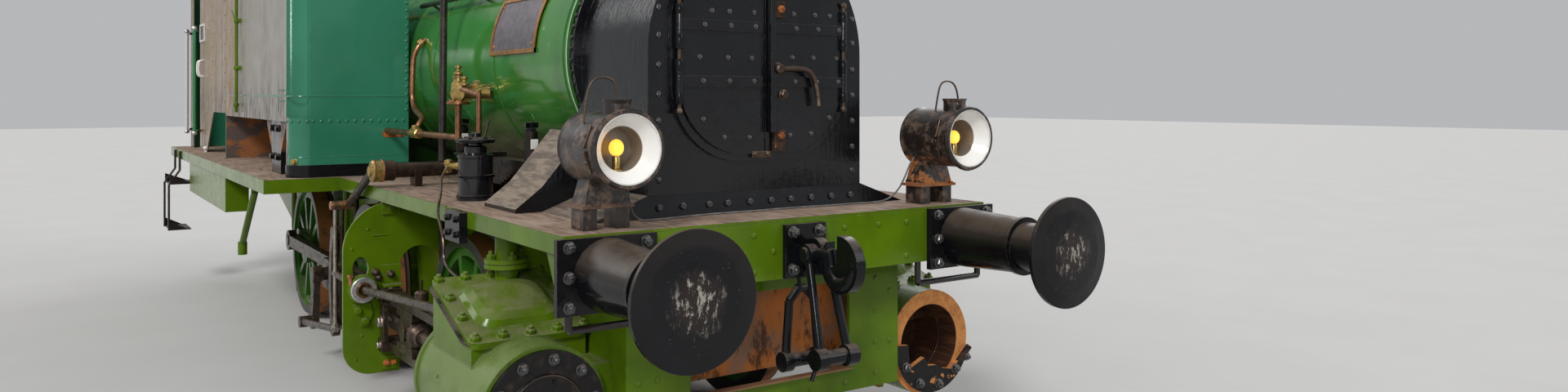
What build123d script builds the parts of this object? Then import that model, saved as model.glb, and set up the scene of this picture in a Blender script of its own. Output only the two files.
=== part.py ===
"""Side-tank steam locomotive with six coupled wheels, on standard gauge.

+X points forward, +Y to the locomotive's left and +Z up. The origin is under the middle of the
length, at the height of the wheel flanges' lowest points. Distances called "back" are measured
behind the front buffer faces, and heights called "up" are measured above the rail.
"""
import math
import os

from build123d import *

os.makedirs("parts", exist_ok=True)

# Running on the rail
length_over_buffers = 9650
rail_gauge = 1435
flange_depth = 28
back_to_back = 1360
tyre_width = 135
tyre_thickness = 60
wheel_diameter = 1000
axle_radius = 75
journal_clearance = 0.4
seat_gap = 0.3
spoke_count = 10
crank_radius = 250
crank_angle = 170
axle_backs = (2350, 4200, 6050)

# Frames, beams and running plate
frame_inner_y = 595
frame_thickness = 25
frame_bottom_up = 360
frame_top_up = 1130
beam_back = 647
beam_thickness = 30
beam_bottom_up = 955
deck_up = 1195
deck_thickness = 12
narrow_deck_half = 1037
wide_deck_half = 1450
wide_deck_back = 3950
valance_height = 70
valance_thickness = 12
edge_angle = 60
gusset_thickness = 14
gusset_length = 150

# Buffers and draw gear
buffer_spacing = 1750
buffer_up = 1050
buffer_head_diameter = 450
buffer_plate_wide = 390
buffer_plate_low_up = 919
buffer_plate_top_up = 1187
housing_length = 400
housing_root_radius = 132
housing_end_radius = 116
plunger_radius = 102
hook_thickness = 44
hook_eye = (548, 1060)
hook_bowl = (388, 1035)
hook_bowl_radius = 112
hook_throat = (432, 1058)
screw_front = (440, 670)
screw_rear = (654, 620)

# Boiler and smokebox
boiler_up = 1870
boiler_radius = 600
smokebox_back = 948
smokebox_half = 545
smokebox_length = 660
smokebox_wall = 14
smokebox_ring_radius = 588
smokebox_ring_width = 42
base_strip_up = 1287
base_strip_half = 790
casing_front_back = 1430
casing_rear_back = 1800
firebox_front_back = 5000
firebox_rear_back = 6900
firebox_half = 560
door_up = 1860
door_half = 440
door_hinge_y = 405

# Plate under the front beam
front_plate_back = 850
front_plate_half = 690
front_plate_thickness = 18
front_plate_low_up = 380
plate_opening_half = 405
plate_opening_low_up = 490
plate_opening_top_up = 870

# Along the boiler's top
chimney_top_up = 3850
dome_sizes = (
    # back, radius, height above the barrel
    (3050, 300, 620),
    (4650, 230, 420),
)

# Cylinders and motion
cylinder_y = 980
cylinder_bore = 360
cylinder_outer_radius = 250
cylinder_front_back = 920
cylinder_rear_back = 1750
motion_plate_back = 3050
motion_plate_thickness = 22
motion_outer_y = 1222
coupling_rod_y = 870
coupling_rod_thickness = 56
main_rod_thickness = 56
gear_y = 1130
valve_rod_up = 670
valve_rod_front_up = 785
bar_offset = 110
bar_height = 40
crosshead_back = 2620
link_back = 3620
link_top_up = 900
link_low_up = 350

# Tanks and cab
deck_ledge = 150
tank_inner = 612
tank_front_back = 4000
tank_rear_back = 6560
tank_bottom_up = 1530
tank_top_up = 2480
tank_corner = 110
lid_radius = 190
lid_back = 4700
neck_height = 60
cab_front_back = 6560
cab_rear_back = 8850
cab_wall = 10
cab_eaves_up = 3250
roof_top_up = 3520
side_low_up = 1550
side_slant_back = 7270
side_foot_back = 7700
door_front_back = 8150
door_rear_back = 8650
window_front_back = 7450
window_sill_up = 2560
opening_top_up = 3130
bunker_rear_back = 7480
bunker_top_up = 1960
bunker_inner = 640

# Worked-out positions
tank_half = wide_deck_half - deck_ledge
wheel_radius = wheel_diameter / 2
tyre_inner_y = back_to_back / 2
tyre_outer_y = tyre_inner_y + tyre_width
half_length = length_over_buffers / 2
frame_outer_y = frame_inner_y + frame_thickness
rear_beam_back = length_over_buffers - beam_back


def x_at(back):
    """Frame x of a distance behind the front buffer faces."""
    return half_length - back


def z_at(up):
    """Frame z of a height above the rail."""
    return up + flange_depth


axle_z = z_at(wheel_radius)
crank_x = crank_radius * math.cos(math.radians(crank_angle))
crank_z = crank_radius * math.sin(math.radians(crank_angle))


def along_x(y, z):
    """Plane with local x along X and local y up, whose normal points to -Y."""
    return Plane(origin=(0, y, z), x_dir=(1, 0, 0), z_dir=(0, -1, 0))


def turned(profile, y, z, mode=Mode.ADD):
    """Revolve (x, radius) pairs about the line along X at (y, z)."""
    with BuildSketch(along_x(y, z)) as section:
        with BuildLine():
            Polyline(*profile, close=True)
        make_face()
    revolve(section.sketch, axis=Axis((0, y, z), (1, 0, 0)), mode=mode)


def turned_up(profile, x, y, mode=Mode.ADD):
    """Revolve (radius, z) pairs about the upright line at (x, y)."""
    with BuildSketch(Plane(origin=(x, y, 0), x_dir=(1, 0, 0), z_dir=(0, -1, 0))) as section:
        with BuildLine():
            Polyline(*profile, close=True)
        make_face()
    revolve(section.sketch, axis=Axis((x, y, 0), (0, 0, 1)), mode=mode)


def rod(start, end, radius, mode=Mode.ADD):
    """Round bar from one point to another."""
    run = Vector(*end) - Vector(*start)
    with BuildSketch(Plane(origin=start, z_dir=run)) as section:
        Circle(radius)
    extrude(section.sketch, amount=run.length, mode=mode)


def block(x_range, y_range, z_range, mode=Mode.ADD):
    """Rectangular solid between pairs of limits."""
    (x0, x1), (y0, y1), (z0, z1) = x_range, y_range, z_range
    with BuildSketch(Plane.XY.offset(z0)) as section:
        with Locations(((x0 + x1) / 2, (y0 + y1) / 2)):
            Rectangle(abs(x1 - x0), abs(y1 - y0))
    extrude(section.sketch, amount=z1 - z0, mode=mode)


def side_plate(points, y0, y1, mode=Mode.ADD):
    """Plate with an (x, z) outline, standing lengthwise between two y values."""
    with BuildSketch(along_x(y0, 0)) as section:
        with BuildLine():
            Polyline(*points, close=True)
        make_face()
    extrude(section.sketch, amount=y0 - y1, mode=mode)


def cross_plate(points, x0, x1, mode=Mode.ADD):
    """Plate with a (y, z) outline, standing crosswise between two x values."""
    with BuildSketch(Plane.YZ.offset(x0)) as section:
        with BuildLine():
            Polyline(*points, close=True)
        make_face()
    extrude(section.sketch, amount=x1 - x0, mode=mode)


def save(builder, name):
    """Label a finished piece and write it to its own file."""
    builder.part.label = name
    export_step(builder.part, f"parts/{name}.step")


# Frame plates, with an upright gap for each axle box
horn_half = 110
horn_top_up = 700
with BuildPart() as frames:
    for side in (1, -1):
        front_x = x_at(beam_back + beam_thickness)
        rear_x = x_at(rear_beam_back - beam_thickness)
        side_plate(
            (
                (x_at(front_plate_back + 19), z_at(beam_bottom_up + 13)),
                (front_x, z_at(beam_bottom_up + 13)),
                (front_x, z_at(frame_top_up)),
                (rear_x, z_at(frame_top_up)),
                (rear_x, z_at(beam_bottom_up)),
                (x_at(axle_backs[2] + 900), z_at(frame_bottom_up)),
                (x_at(front_plate_back + 19), z_at(frame_bottom_up)),
            ),
            side * frame_inner_y, side * frame_outer_y,
        )
        for back in axle_backs:
            block(
                (x_at(back) - horn_half, x_at(back) + horn_half),
                (side * (frame_inner_y - 10), side * (frame_outer_y + 10)),
                (z_at(frame_bottom_up) - 10, z_at(horn_top_up)),
                mode=Mode.SUBTRACT,
            )
    stretchers = (
        # back, thickness, bottom, top
        (1250, 500, 500, 1120),
        (3250, 20, 620, 1120),
        (4850, 20, 620, 1120),
        (7000, 20, 620, 1120),
        (rear_beam_back - 703, 20, 800, 1120),
    )
    for back, thick, bottom, top in stretchers:
        block((x_at(back) - thick / 2, x_at(back) + thick / 2),
              (-frame_inner_y, frame_inner_y), (z_at(bottom), z_at(top)))
save(frames, "frames")

# Axle boxes in the gaps, and the stays that close the gaps below
box_fit = seat_gap
with BuildPart() as axle_boxes:
    for back in axle_backs:
        for side in (1, -1):
            x = x_at(back)
            block(
                (x - horn_half + box_fit, x + horn_half - box_fit),
                (side * (frame_inner_y - 30), side * (frame_outer_y + 30)),
                (axle_z - 120, axle_z + 130),
            )
            rod((x, side * (frame_inner_y - 60), axle_z), (x, side * (frame_outer_y + 60), axle_z),
                axle_radius + journal_clearance, mode=Mode.SUBTRACT)
save(axle_boxes, "axle_boxes")


# Buffer beams with triangular gussets behind their ends
with BuildPart() as beams:
    for end in (1, -1):
        face = end * x_at(beam_back)
        block((face - end * beam_thickness, face), (-narrow_deck_half, narrow_deck_half),
              (z_at(beam_bottom_up), z_at(deck_up - deck_thickness)))
    gusset_y = narrow_deck_half - gusset_thickness
    gusset_foot = gusset_length / 3
    for end in (1, -1):
        for side in (1, -1):
            root_x = end * (x_at(beam_back) - beam_thickness)
            side_plate(
                (
                    (root_x, z_at(beam_bottom_up)),
                    (root_x, z_at(deck_up - deck_thickness)),
                    (root_x - end * gusset_length, z_at(deck_up - deck_thickness)),
                    (root_x - end * gusset_length, z_at(deck_up - deck_thickness - edge_angle)),
                    (root_x - end * gusset_foot, z_at(beam_bottom_up)),
                ),
                side * gusset_y, side * (gusset_y - gusset_thickness),
            )
save(beams, "buffer_beams")

# Plate under the front beam, with its wide opening
with BuildPart() as front_plate:
    x = x_at(front_plate_back)
    inner_x = x - front_plate_thickness
    cheek_rear_x = x_at(front_plate_back + 530)
    low = z_at(front_plate_low_up)
    block((inner_x, x), (-front_plate_half, front_plate_half), (low, z_at(beam_bottom_up)))
    block((inner_x - 10, x + 10), (-plate_opening_half, plate_opening_half),
          (z_at(plate_opening_low_up), z_at(plate_opening_top_up)), mode=Mode.SUBTRACT)
    block((x, x_at(beam_back + beam_thickness)), (-front_plate_half, front_plate_half),
          (z_at(beam_bottom_up), z_at(beam_bottom_up + 12)))
    block((x, x + 22), (-plate_opening_half, plate_opening_half),
          (z_at(plate_opening_low_up - 10), z_at(plate_opening_low_up)))
    for side in (1, -1):
        block((cheek_rear_x, inner_x), (side * (frame_outer_y + 1), side * front_plate_half),
              (low, z_at(930)))
save(front_plate, "front_plate")

# Running plate: a narrow front, then full width, with its edge angle and valances
with BuildPart() as running_plate:
    top = z_at(deck_up)
    bottom = top - deck_thickness
    front_x = x_at(beam_back)
    wide_x = x_at(wide_deck_back)
    rear_x = x_at(rear_beam_back)
    with BuildSketch(Plane.XY.offset(bottom)) as deck_outline:
        with BuildLine():
            Polyline(
                (front_x, -narrow_deck_half), (front_x, narrow_deck_half),
                (wide_x, narrow_deck_half), (wide_x, wide_deck_half),
                (rear_x, wide_deck_half), (rear_x, -wide_deck_half),
                (wide_x, -wide_deck_half), (wide_x, -narrow_deck_half), close=True,
            )
        make_face()
    extrude(deck_outline.sketch, amount=deck_thickness)
    block((x_at(firebox_rear_back + 8), x_at(firebox_front_back - 8)),
          (-firebox_half - 8, firebox_half + 8), (bottom - 5, top + 5), mode=Mode.SUBTRACT)
    locker_front_x = x_at(5600)
    locker_rear_x = x_at(7700)
    locker_y = wide_deck_half - 20
    locker_top = bottom - 63
    for side in (1, -1):
        block((wide_x, front_x - beam_thickness),
              (side * (narrow_deck_half - valance_thickness), side * narrow_deck_half),
              (bottom - edge_angle, bottom))
        block((rear_x, wide_x), (side * (wide_deck_half - valance_thickness), side * wide_deck_half),
              (bottom - valance_height, bottom))
        block((wide_x - valance_thickness, wide_x),
              (side * (narrow_deck_half - valance_thickness), side * wide_deck_half),
              (bottom - valance_height, bottom))
        block((locker_rear_x, locker_front_x), (side * (locker_y - 150), side * locker_y),
              (locker_top - 260, locker_top))
        for strap_x in (locker_rear_x + 200, locker_front_x - 260):
            block((strap_x, strap_x + 60), (side * (locker_y - 130), side * (locker_y - 60)),
                  (locker_top - 20, bottom + 2))
save(running_plate, "running_plate")

# Motion plates, cut out for the coupling rods
with BuildPart() as motion_plates:
    x = x_at(motion_plate_back)
    for side in (1, -1):
        shoulder = (side * 1024, z_at(1115))
        side_top = (side * motion_outer_y, z_at(880))
        side_low = (side * motion_outer_y, z_at(370))
        toe = (side * 1070, z_at(215))
        slot_outer, slot_inner, slot_spring_up = side * 935, side * 720, 767.5
        with BuildSketch(Plane.YZ.offset(x)) as outline:
            with BuildLine():
                Polyline((slot_inner, z_at(slot_spring_up)), (slot_inner, z_at(600)),
                         (side * frame_outer_y, z_at(600)),
                         (side * frame_outer_y, z_at(deck_up - deck_thickness)),
                         (side * 1024, z_at(deck_up - deck_thickness)), shoulder)
                ThreePointArc(shoulder, (side * 1162, z_at(1030)), side_top)
                Line(side_top, side_low)
                ThreePointArc(side_low, (side * 1184, z_at(262)), toe)
                Polyline(toe, (slot_outer, z_at(215)), (slot_outer, z_at(slot_spring_up)))
                ThreePointArc((slot_outer, z_at(slot_spring_up)), ((slot_outer + slot_inner) / 2, z_at(875)),
                              (slot_inner, z_at(slot_spring_up)))
            make_face()
            with Locations((side * 1135, z_at(775))):
                Ellipse(40, 62, mode=Mode.SUBTRACT)
            with Locations((side * gear_y, z_at(valve_rod_up))):
                Circle(23, mode=Mode.SUBTRACT)
            with Locations((side * cylinder_y, axle_z)):
                Rectangle(2 * 50, 2 * (bar_offset - 5), mode=Mode.SUBTRACT)
        extrude(outline.sketch, amount=motion_plate_thickness)
        guide_x = x + motion_plate_thickness
        turned(((guide_x - 2, 23), (guide_x + 44, 23), (guide_x + 44, 52), (guide_x + 30, 76),
                (guide_x - 2, 76)),
               side * gear_y, z_at(valve_rod_up))
save(motion_plates, "motion_plates")

# Buffers: square base, tapered housing with an end rim, plunger and head
with BuildPart() as buffers:
    for end in (1, -1):
        for side in (1, -1):
            y = side * buffer_spacing / 2
            z = z_at(buffer_up)
            face = end * x_at(beam_back)
            rim_x = face + end * housing_length
            block((face, face + end * 25), (y - buffer_plate_wide / 2, y + buffer_plate_wide / 2),
                  (z_at(buffer_plate_low_up), z_at(buffer_plate_top_up)))
            turned(
                (
                    (face + end * 20, 0), (face + end * 20, housing_root_radius),
                    (rim_x - end * 26, housing_end_radius), (rim_x - end * 22, housing_end_radius + 7),
                    (rim_x, housing_end_radius + 7), (rim_x, plunger_radius),
                    (end * (half_length - 60), plunger_radius),
                    (end * (half_length - 45), plunger_radius + 20),
                    (end * (half_length - 34), buffer_head_diameter / 2),
                    (end * (half_length - 18), buffer_head_diameter / 2),
                    (end * (half_length - 8), buffer_head_diameter / 2 - 60), (end * half_length, 70),
                    (end * half_length, 0),
                ),
                y, z,
            )
save(buffers, "buffers")


def end_point(end, place, y):
    """Point at a (back, up) place of the draw gear, repeated at the rear end."""
    return end * x_at(place[0]), y, z_at(place[1])


# Draw hooks with their plates and screw couplings, hung up below the beams
with BuildPart() as draw_gear:
    for end in (1, -1):
        face = end * x_at(beam_back)
        block((face, face + end * 22), (-100, 100), (z_at(956), z_at(1171)))
        eye_x, _, eye_z = end_point(end, hook_eye, 0)
        bowl_x, _, bowl_z = end_point(end, hook_bowl, 0)
        throat_x, _, throat_z = end_point(end, hook_throat, 0)
        with BuildSketch(along_x(hook_thickness / 2, 0)) as hook:
            with Locations((bowl_x, bowl_z)):
                Circle(hook_bowl_radius)
            with Locations((eye_x, eye_z)):
                Circle(62)
            with Locations(((face + bowl_x) / 2, z_at(1030))):
                Rectangle(abs(bowl_x - face), 90)
            with Locations((throat_x, throat_z)):
                Circle(34, mode=Mode.SUBTRACT)
            with Locations((throat_x, throat_z + 100)):
                Rectangle(68, 200, mode=Mode.SUBTRACT)
        extrude(hook.sketch, amount=hook_thickness)
        for side in (1, -1):
            rod(end_point(end, hook_eye, side * 18), end_point(end, hook_eye, side * 62), 40)
            rod(end_point(end, hook_eye, side * 46), end_point(end, screw_front, side * 68), 17)
            rod(end_point(end, screw_front, side * 48), end_point(end, screw_front, side * 98), 42)
            rod(end_point(end, screw_rear, side * 60), end_point(end, screw_rear, side * 102), 40)
            rod(end_point(end, screw_rear, side * 82), end_point(end, (656, 860), side * 62), 18)
            rod(end_point(end, (656, 860), side * 62), end_point(end, (656, 908), side * 16), 18)
        rod(end_point(end, (656, 908), -24), end_point(end, (656, 908), 24), 18)
        rod(end_point(end, screw_front, -70), end_point(end, screw_front, 70), 30)
        rod(end_point(end, screw_rear, -80), end_point(end, screw_rear, 80), 27)
        rod(end_point(end, screw_front, 0), end_point(end, screw_rear, 0), 24)
        rod(end_point(end, (536, 648), 0), end_point(end, (536, 560), -40), 9)
        rod(end_point(end, (632, 962), -30), end_point(end, (650, 905), -14), 9)
save(draw_gear, "draw_gear")

# Smokebox: hollow, flat-sided, round-topped, with a flared saddle on the running plate
smokebox_rear_back = smokebox_back + smokebox_length
with BuildPart() as smokebox:
    front_x = x_at(smokebox_back)
    rear_x = x_at(smokebox_rear_back)
    centre = z_at(boiler_up)
    base = z_at(base_strip_up) - 2

    def smokebox_section(x, half):
        """Upright sides and a half-round top, as a sketch across the locomotive."""
        with BuildSketch(Plane.YZ.offset(x)) as section:
            with BuildLine():
                Line((-half, centre), (-half, base + smokebox_half - half))
                Line((-half, base + smokebox_half - half), (half, base + smokebox_half - half))
                Line((half, base + smokebox_half - half), (half, centre))
                ThreePointArc((half, centre), (0, centre + half), (-half, centre))
            make_face()
        return section.sketch

    extrude(smokebox_section(rear_x, smokebox_half), amount=smokebox_length)
    turned(((rear_x, 0), (rear_x, smokebox_ring_radius), (rear_x + smokebox_ring_width, smokebox_ring_radius),
            (rear_x + smokebox_ring_width, 0)), 0, centre)
    extrude(smokebox_section(rear_x + 20, smokebox_half - smokebox_wall),
            amount=smokebox_length - 20 - smokebox_wall, mode=Mode.SUBTRACT)
    with BuildSketch(Plane.YZ.offset(front_x - 2 * smokebox_wall)) as doorway:
        with Locations((0, z_at(door_up))):
            RectangleRounded(2 * door_half - 90, 2 * door_half - 90, 300)
    extrude(doorway.sketch, amount=4 * smokebox_wall, mode=Mode.SUBTRACT)
    with BuildSketch(Plane.YZ.offset(front_x)) as door_ring:
        with Locations((0, z_at(door_up))):
            RectangleRounded(2 * door_half + 20, 2 * door_half + 20, 340)
            RectangleRounded(2 * door_half - 90, 2 * door_half - 90, 300, mode=Mode.SUBTRACT)
    extrude(door_ring.sketch, amount=16)
    with BuildSketch(Plane.XY.offset(z_at(deck_up) + seat_gap)) as foot:
        with Locations(((front_x + rear_x) / 2 + 6, 0)):
            Rectangle(smokebox_length + 10, 2 * base_strip_half)
    with BuildSketch(Plane.XY.offset(base + 2)) as crown:
        with Locations(((front_x + rear_x) / 2, 0)):
            Rectangle(smokebox_length - 2, 2 * smokebox_half - 2)
    loft((foot.sketch, crown.sketch), ruled=True)
    # Sloped casings over the steam pipes, from the smokebox sides down to the running plate
    for side in (1, -1):
        cross_plate(
            (
                (side * 520, z_at(1520)), (side * 596, z_at(1532)), (side * 690, z_at(1418)),
                (side * 790, z_at(1300)), (side * 906, z_at(1212)), (side * 906, z_at(deck_up) + seat_gap),
                (side * 520, z_at(deck_up) + seat_gap),
            ),
            x_at(casing_rear_back), x_at(casing_front_back),
        )
save(smokebox, "smokebox")

# Two door leaves hinged at their outer edges
leaf_thickness = 12
leaf_gap = 5
for side, side_name in ((1, "left"), (-1, "right")):
    with BuildPart() as leaf:
        leaf_x = x_at(smokebox_back) + 16 + seat_gap
        with BuildSketch(Plane.YZ.offset(leaf_x)) as face:
            with Locations((0, z_at(door_up))):
                RectangleRounded(2 * door_half - 40, 2 * door_half - 40, 320)
            with Locations((-side * 500, z_at(door_up))):
                Rectangle(1000 + leaf_gap, 1200, mode=Mode.SUBTRACT)
        extrude(face.sketch, amount=leaf_thickness)
        for up in (door_up - 115, door_up + 115):
            block((leaf_x + leaf_thickness, leaf_x + leaf_thickness + 12),
                  (side * 20, side * (door_hinge_y + 4)),
                  (z_at(up - 22), z_at(up + 22)))
            rod((leaf_x + leaf_thickness + 6, side * (door_hinge_y + 16), z_at(up - 40)),
                (leaf_x + leaf_thickness + 6, side * (door_hinge_y + 16), z_at(up + 40)), 16)
        if side == 1:
            block((leaf_x + leaf_thickness + 12, leaf_x + leaf_thickness + 36), (8, 32),
                  (z_at(door_up - 330), z_at(door_up + 330)))
    save(leaf, f"smokebox_door_{side_name}")

# Boiler barrel, bands and firebox
boiler_front_back = smokebox_rear_back
with BuildPart() as boiler:
    z = z_at(boiler_up)
    profile = [(x_at(firebox_rear_back), 0), (x_at(firebox_rear_back), boiler_radius)]
    for band_back in (5900, 5150, 4150, 3550, 2550, boiler_front_back + 70):
        x = x_at(band_back)
        profile += [(x - 35, boiler_radius), (x - 35, boiler_radius + 5), (x + 35, boiler_radius + 5),
                    (x + 35, boiler_radius)]
    profile += [(x_at(boiler_front_back), boiler_radius), (x_at(boiler_front_back), 0)]
    turned(profile, 0, z)
    block((x_at(firebox_rear_back), x_at(firebox_front_back)), (-firebox_half, firebox_half), (z_at(700), z))
save(boiler, "boiler")

# Chimney, domes and safety valves along the top
with BuildPart() as chimney:
    x = x_at(smokebox_back + smokebox_length / 2)
    top = z_at(boiler_up) + smokebox_half
    rim = z_at(chimney_top_up)
    flare_start, flare_end = (280, top + 4), (178, top + 150)
    lip_start, lip_end = (200, rim - 110), (246, rim - 62)
    with BuildSketch(Plane(origin=(x, 0, 0), x_dir=(1, 0, 0), z_dir=(0, -1, 0))) as stack:
        with BuildLine():
            Polyline((150, rim), (150, top - 70), (280, top - 70), flare_start)
            ThreePointArc(flare_start, (206, top + 48), flare_end)
            Line(flare_end, lip_start)
            ThreePointArc(lip_start, (232, rim - 100), lip_end)
            Polyline(lip_end, (246, rim - 20), (228, rim), (150, rim))
        make_face()
    revolve(stack.sketch, axis=Axis((x, 0, 0), (0, 0, 1)))
    rod((x_at(smokebox_rear_back), 0, z_at(boiler_up)), (x_at(smokebox_back), 0, z_at(boiler_up)),
        smokebox_half + 0.3, mode=Mode.SUBTRACT)
save(chimney, "chimney")

with BuildPart() as domes:
    crown = z_at(boiler_up) + boiler_radius
    for back, radius, height in dome_sizes:
        x = x_at(back)
        top = crown + height
        foot_start, foot_end = (radius + 70, crown + 4), (radius, crown + 74)
        cap_start, cap_end = (radius, top - 0.6 * radius), (40, top)
        with BuildSketch(Plane(origin=(x, 0, 0), x_dir=(1, 0, 0), z_dir=(0, -1, 0))) as dome:
            with BuildLine():
                Polyline(cap_end, (0, top), (0, crown - 150), (radius + 70, crown - 150), foot_start)
                ThreePointArc(foot_start, (radius + 21, crown + 25), foot_end)
                Line(foot_end, cap_start)
                ThreePointArc(cap_start, (0.72 * radius, top - 0.17 * radius), cap_end)
            make_face()
        revolve(dome.sketch, axis=Axis((x, 0, 0), (0, 0, 1)))
    rod((x_at(firebox_rear_back), 0, z_at(boiler_up)), (x_at(boiler_front_back), 0, z_at(boiler_up)),
        boiler_radius + 0.3, mode=Mode.SUBTRACT)
save(domes, "domes")

# Side tanks with rounded front corners, an apron and a bracket down to the running plate, and a filler neck
for side, side_name in ((1, "left"), (-1, "right")):
    with BuildPart() as tank:
        with BuildSketch(Plane.XY.offset(z_at(deck_up) + seat_gap)) as plan:
            with BuildLine():
                Polyline(
                    (x_at(tank_front_back), side * tank_inner),
                    (x_at(tank_front_back), side * (tank_half - tank_corner)),
                )
                RadiusArc((x_at(tank_front_back), side * (tank_half - tank_corner)),
                          (x_at(tank_front_back + tank_corner), side * tank_half), side * tank_corner)
                Polyline(
                    (x_at(tank_front_back + tank_corner), side * tank_half),
                    (x_at(tank_rear_back), side * tank_half),
                    (x_at(tank_rear_back), side * tank_inner),
                    (x_at(tank_front_back), side * tank_inner),
                )
            make_face()
        extrude(plan.sketch, amount=tank_top_up - deck_up)
        block((x_at(tank_rear_back) - 10, x_at(tank_front_back + tank_corner)),
              (side * (tank_inner - 10), side * (tank_half + 10)), (z_at(deck_up) - 5, z_at(tank_bottom_up)),
              mode=Mode.SUBTRACT)
        block((x_at(tank_front_back + tank_corner) - 10, x_at(tank_front_back + 12)),
              (side * (tank_inner - 10), side * (tank_half - 12)), (z_at(deck_up) - 5, z_at(tank_bottom_up)),
              mode=Mode.SUBTRACT)
        turned_up(((lid_radius - 30, z_at(tank_top_up) - 1), (lid_radius - 18, z_at(tank_top_up) - 1),
                   (lid_radius - 18, z_at(tank_top_up) + neck_height),
                   (lid_radius - 30, z_at(tank_top_up) + neck_height)),
                  x_at(lid_back), side * (tank_inner + tank_half) / 2)
        foot_z = z_at(deck_up) + seat_gap
        side_plate(
            (
                (x_at(4900), z_at(tank_bottom_up) + 2), (x_at(4200), z_at(tank_bottom_up) + 2),
                (x_at(4400), z_at(1330)), (x_at(4400), foot_z), (x_at(4700), foot_z),
                (x_at(4700), z_at(1330)),
            ),
            side * (tank_half - 60), side * (tank_half - 20),
        )
    save(tank, f"tank_{side_name}")

# Filler lids on the tank tops, hinged along their outboard edge
for side, side_name in ((1, "left"), (-1, "right")):
    lid_x = x_at(lid_back)
    lid_y = side * (tank_inner + tank_half) / 2
    lid_z = z_at(tank_top_up) + neck_height + 0.5
    hinge_y = lid_y + side * (lid_radius + 14)
    with BuildPart() as lid:
        turned_up(((0, lid_z), (lid_radius, lid_z), (lid_radius, lid_z + 12), (60, lid_z + 24),
                   (0, lid_z + 24)),
                  lid_x, lid_y)
        rod((lid_x - 90, hinge_y, lid_z + 10), (lid_x + 90, hinge_y, lid_z + 10), 12)
        for dx in (-60, 60):
            block((lid_x + dx - 18, lid_x + dx + 18), (lid_y + side * (lid_radius - 40), hinge_y),
                  (lid_z + 10, lid_z + 20))
    save(lid, f"tank_lid_{side_name}")

# Cab: front and rear sheets with round windows, sides with doorways, roof and floor
cab_half = tank_half
window_radius = 190
window_up = 2800
deck_top = z_at(deck_up)
eaves = z_at(cab_eaves_up)


def roof_line(y):
    """Height of the roof's underside at a distance from the centre line."""
    rise = roof_top_up - cab_eaves_up
    return eaves + rise * (1 - (y / cab_half) ** 2)


def cab_end(x0, x1, low):
    """Cross sheet up to the arched roof, from a low edge."""
    with BuildSketch(Plane.YZ.offset(x0)) as sheet:
        with BuildLine():
            Line((-cab_half, low), (cab_half, low))
            Line((cab_half, low), (cab_half, eaves))
            ThreePointArc((cab_half, eaves), (0, roof_line(0)), (-cab_half, eaves))
            Line((-cab_half, eaves), (-cab_half, low))
        make_face()
        with Locations((-760, z_at(window_up)), (760, z_at(window_up))):
            Circle(window_radius, mode=Mode.SUBTRACT)
    extrude(sheet.sketch, amount=x1 - x0)


with BuildPart() as cab_front:
    x = x_at(cab_front_back)
    cab_end(x - cab_wall, x, deck_top + seat_gap)
    with BuildSketch(Plane.YZ.offset(x - cab_wall - 5)) as boiler_gap:
        with Locations((0, z_at(boiler_up))):
            Circle(boiler_radius + 8)
        with Locations((0, z_at(boiler_up) - 500)):
            Rectangle(2 * 568, 1000)
    extrude(boiler_gap.sketch, amount=cab_wall + 10, mode=Mode.SUBTRACT)
save(cab_front, "cab_front")

with BuildPart() as cab_rear:
    x = x_at(cab_rear_back)
    cab_end(x, x + cab_wall, deck_top + seat_gap)
save(cab_rear, "cab_rear")

# Each side sheet has an open doorway and an open window with a rounded sill that runs into it
for side, side_name in ((1, "left"), (-1, "right")):
    with BuildPart() as cab_side:
        front = x_at(cab_front_back + cab_wall)
        rear = x_at(cab_rear_back - cab_wall)
        foot_z = deck_top + seat_gap
        opening_top = z_at(opening_top_up)
        sill = z_at(window_sill_up)
        with BuildSketch(along_x(side * cab_half, 0)) as sheet:
            with BuildLine():
                Polyline(
                    (front, z_at(side_low_up)), (front, eaves), (rear, eaves), (rear, foot_z),
                    (x_at(side_foot_back), foot_z), (x_at(side_slant_back), z_at(side_low_up)), close=True,
                )
            make_face()
            with Locations((x_at((door_front_back + door_rear_back) / 2), (foot_z - 10 + opening_top) / 2)):
                Rectangle(door_rear_back - door_front_back, opening_top - foot_z + 10, mode=Mode.SUBTRACT)
            with Locations((x_at((window_front_back + door_rear_back - 100) / 2), (sill + opening_top) / 2)):
                RectangleRounded(door_rear_back - 100 - window_front_back, opening_top - sill, 90,
                                 mode=Mode.SUBTRACT)
        extrude(sheet.sketch, amount=side * cab_wall)
    save(cab_side, f"cab_side_{side_name}")

with BuildPart() as cab_roof:
    front = x_at(cab_front_back - 130)
    rear = x_at(cab_rear_back + 130)
    over = cab_half + 60
    with BuildSketch(Plane.YZ.offset(rear)) as arch:
        with BuildLine():
            ThreePointArc((-over, eaves - 18), (0, roof_line(0) + 1), (over, eaves - 18))
            Line((over, eaves - 18), (over, eaves - 4))
            ThreePointArc((over, eaves - 4), (0, roof_line(0) + 15), (-over, eaves - 4))
            Line((-over, eaves - 4), (-over, eaves - 18))
        make_face()
    extrude(arch.sketch, amount=front - rear)
save(cab_roof, "cab_roof")

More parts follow.
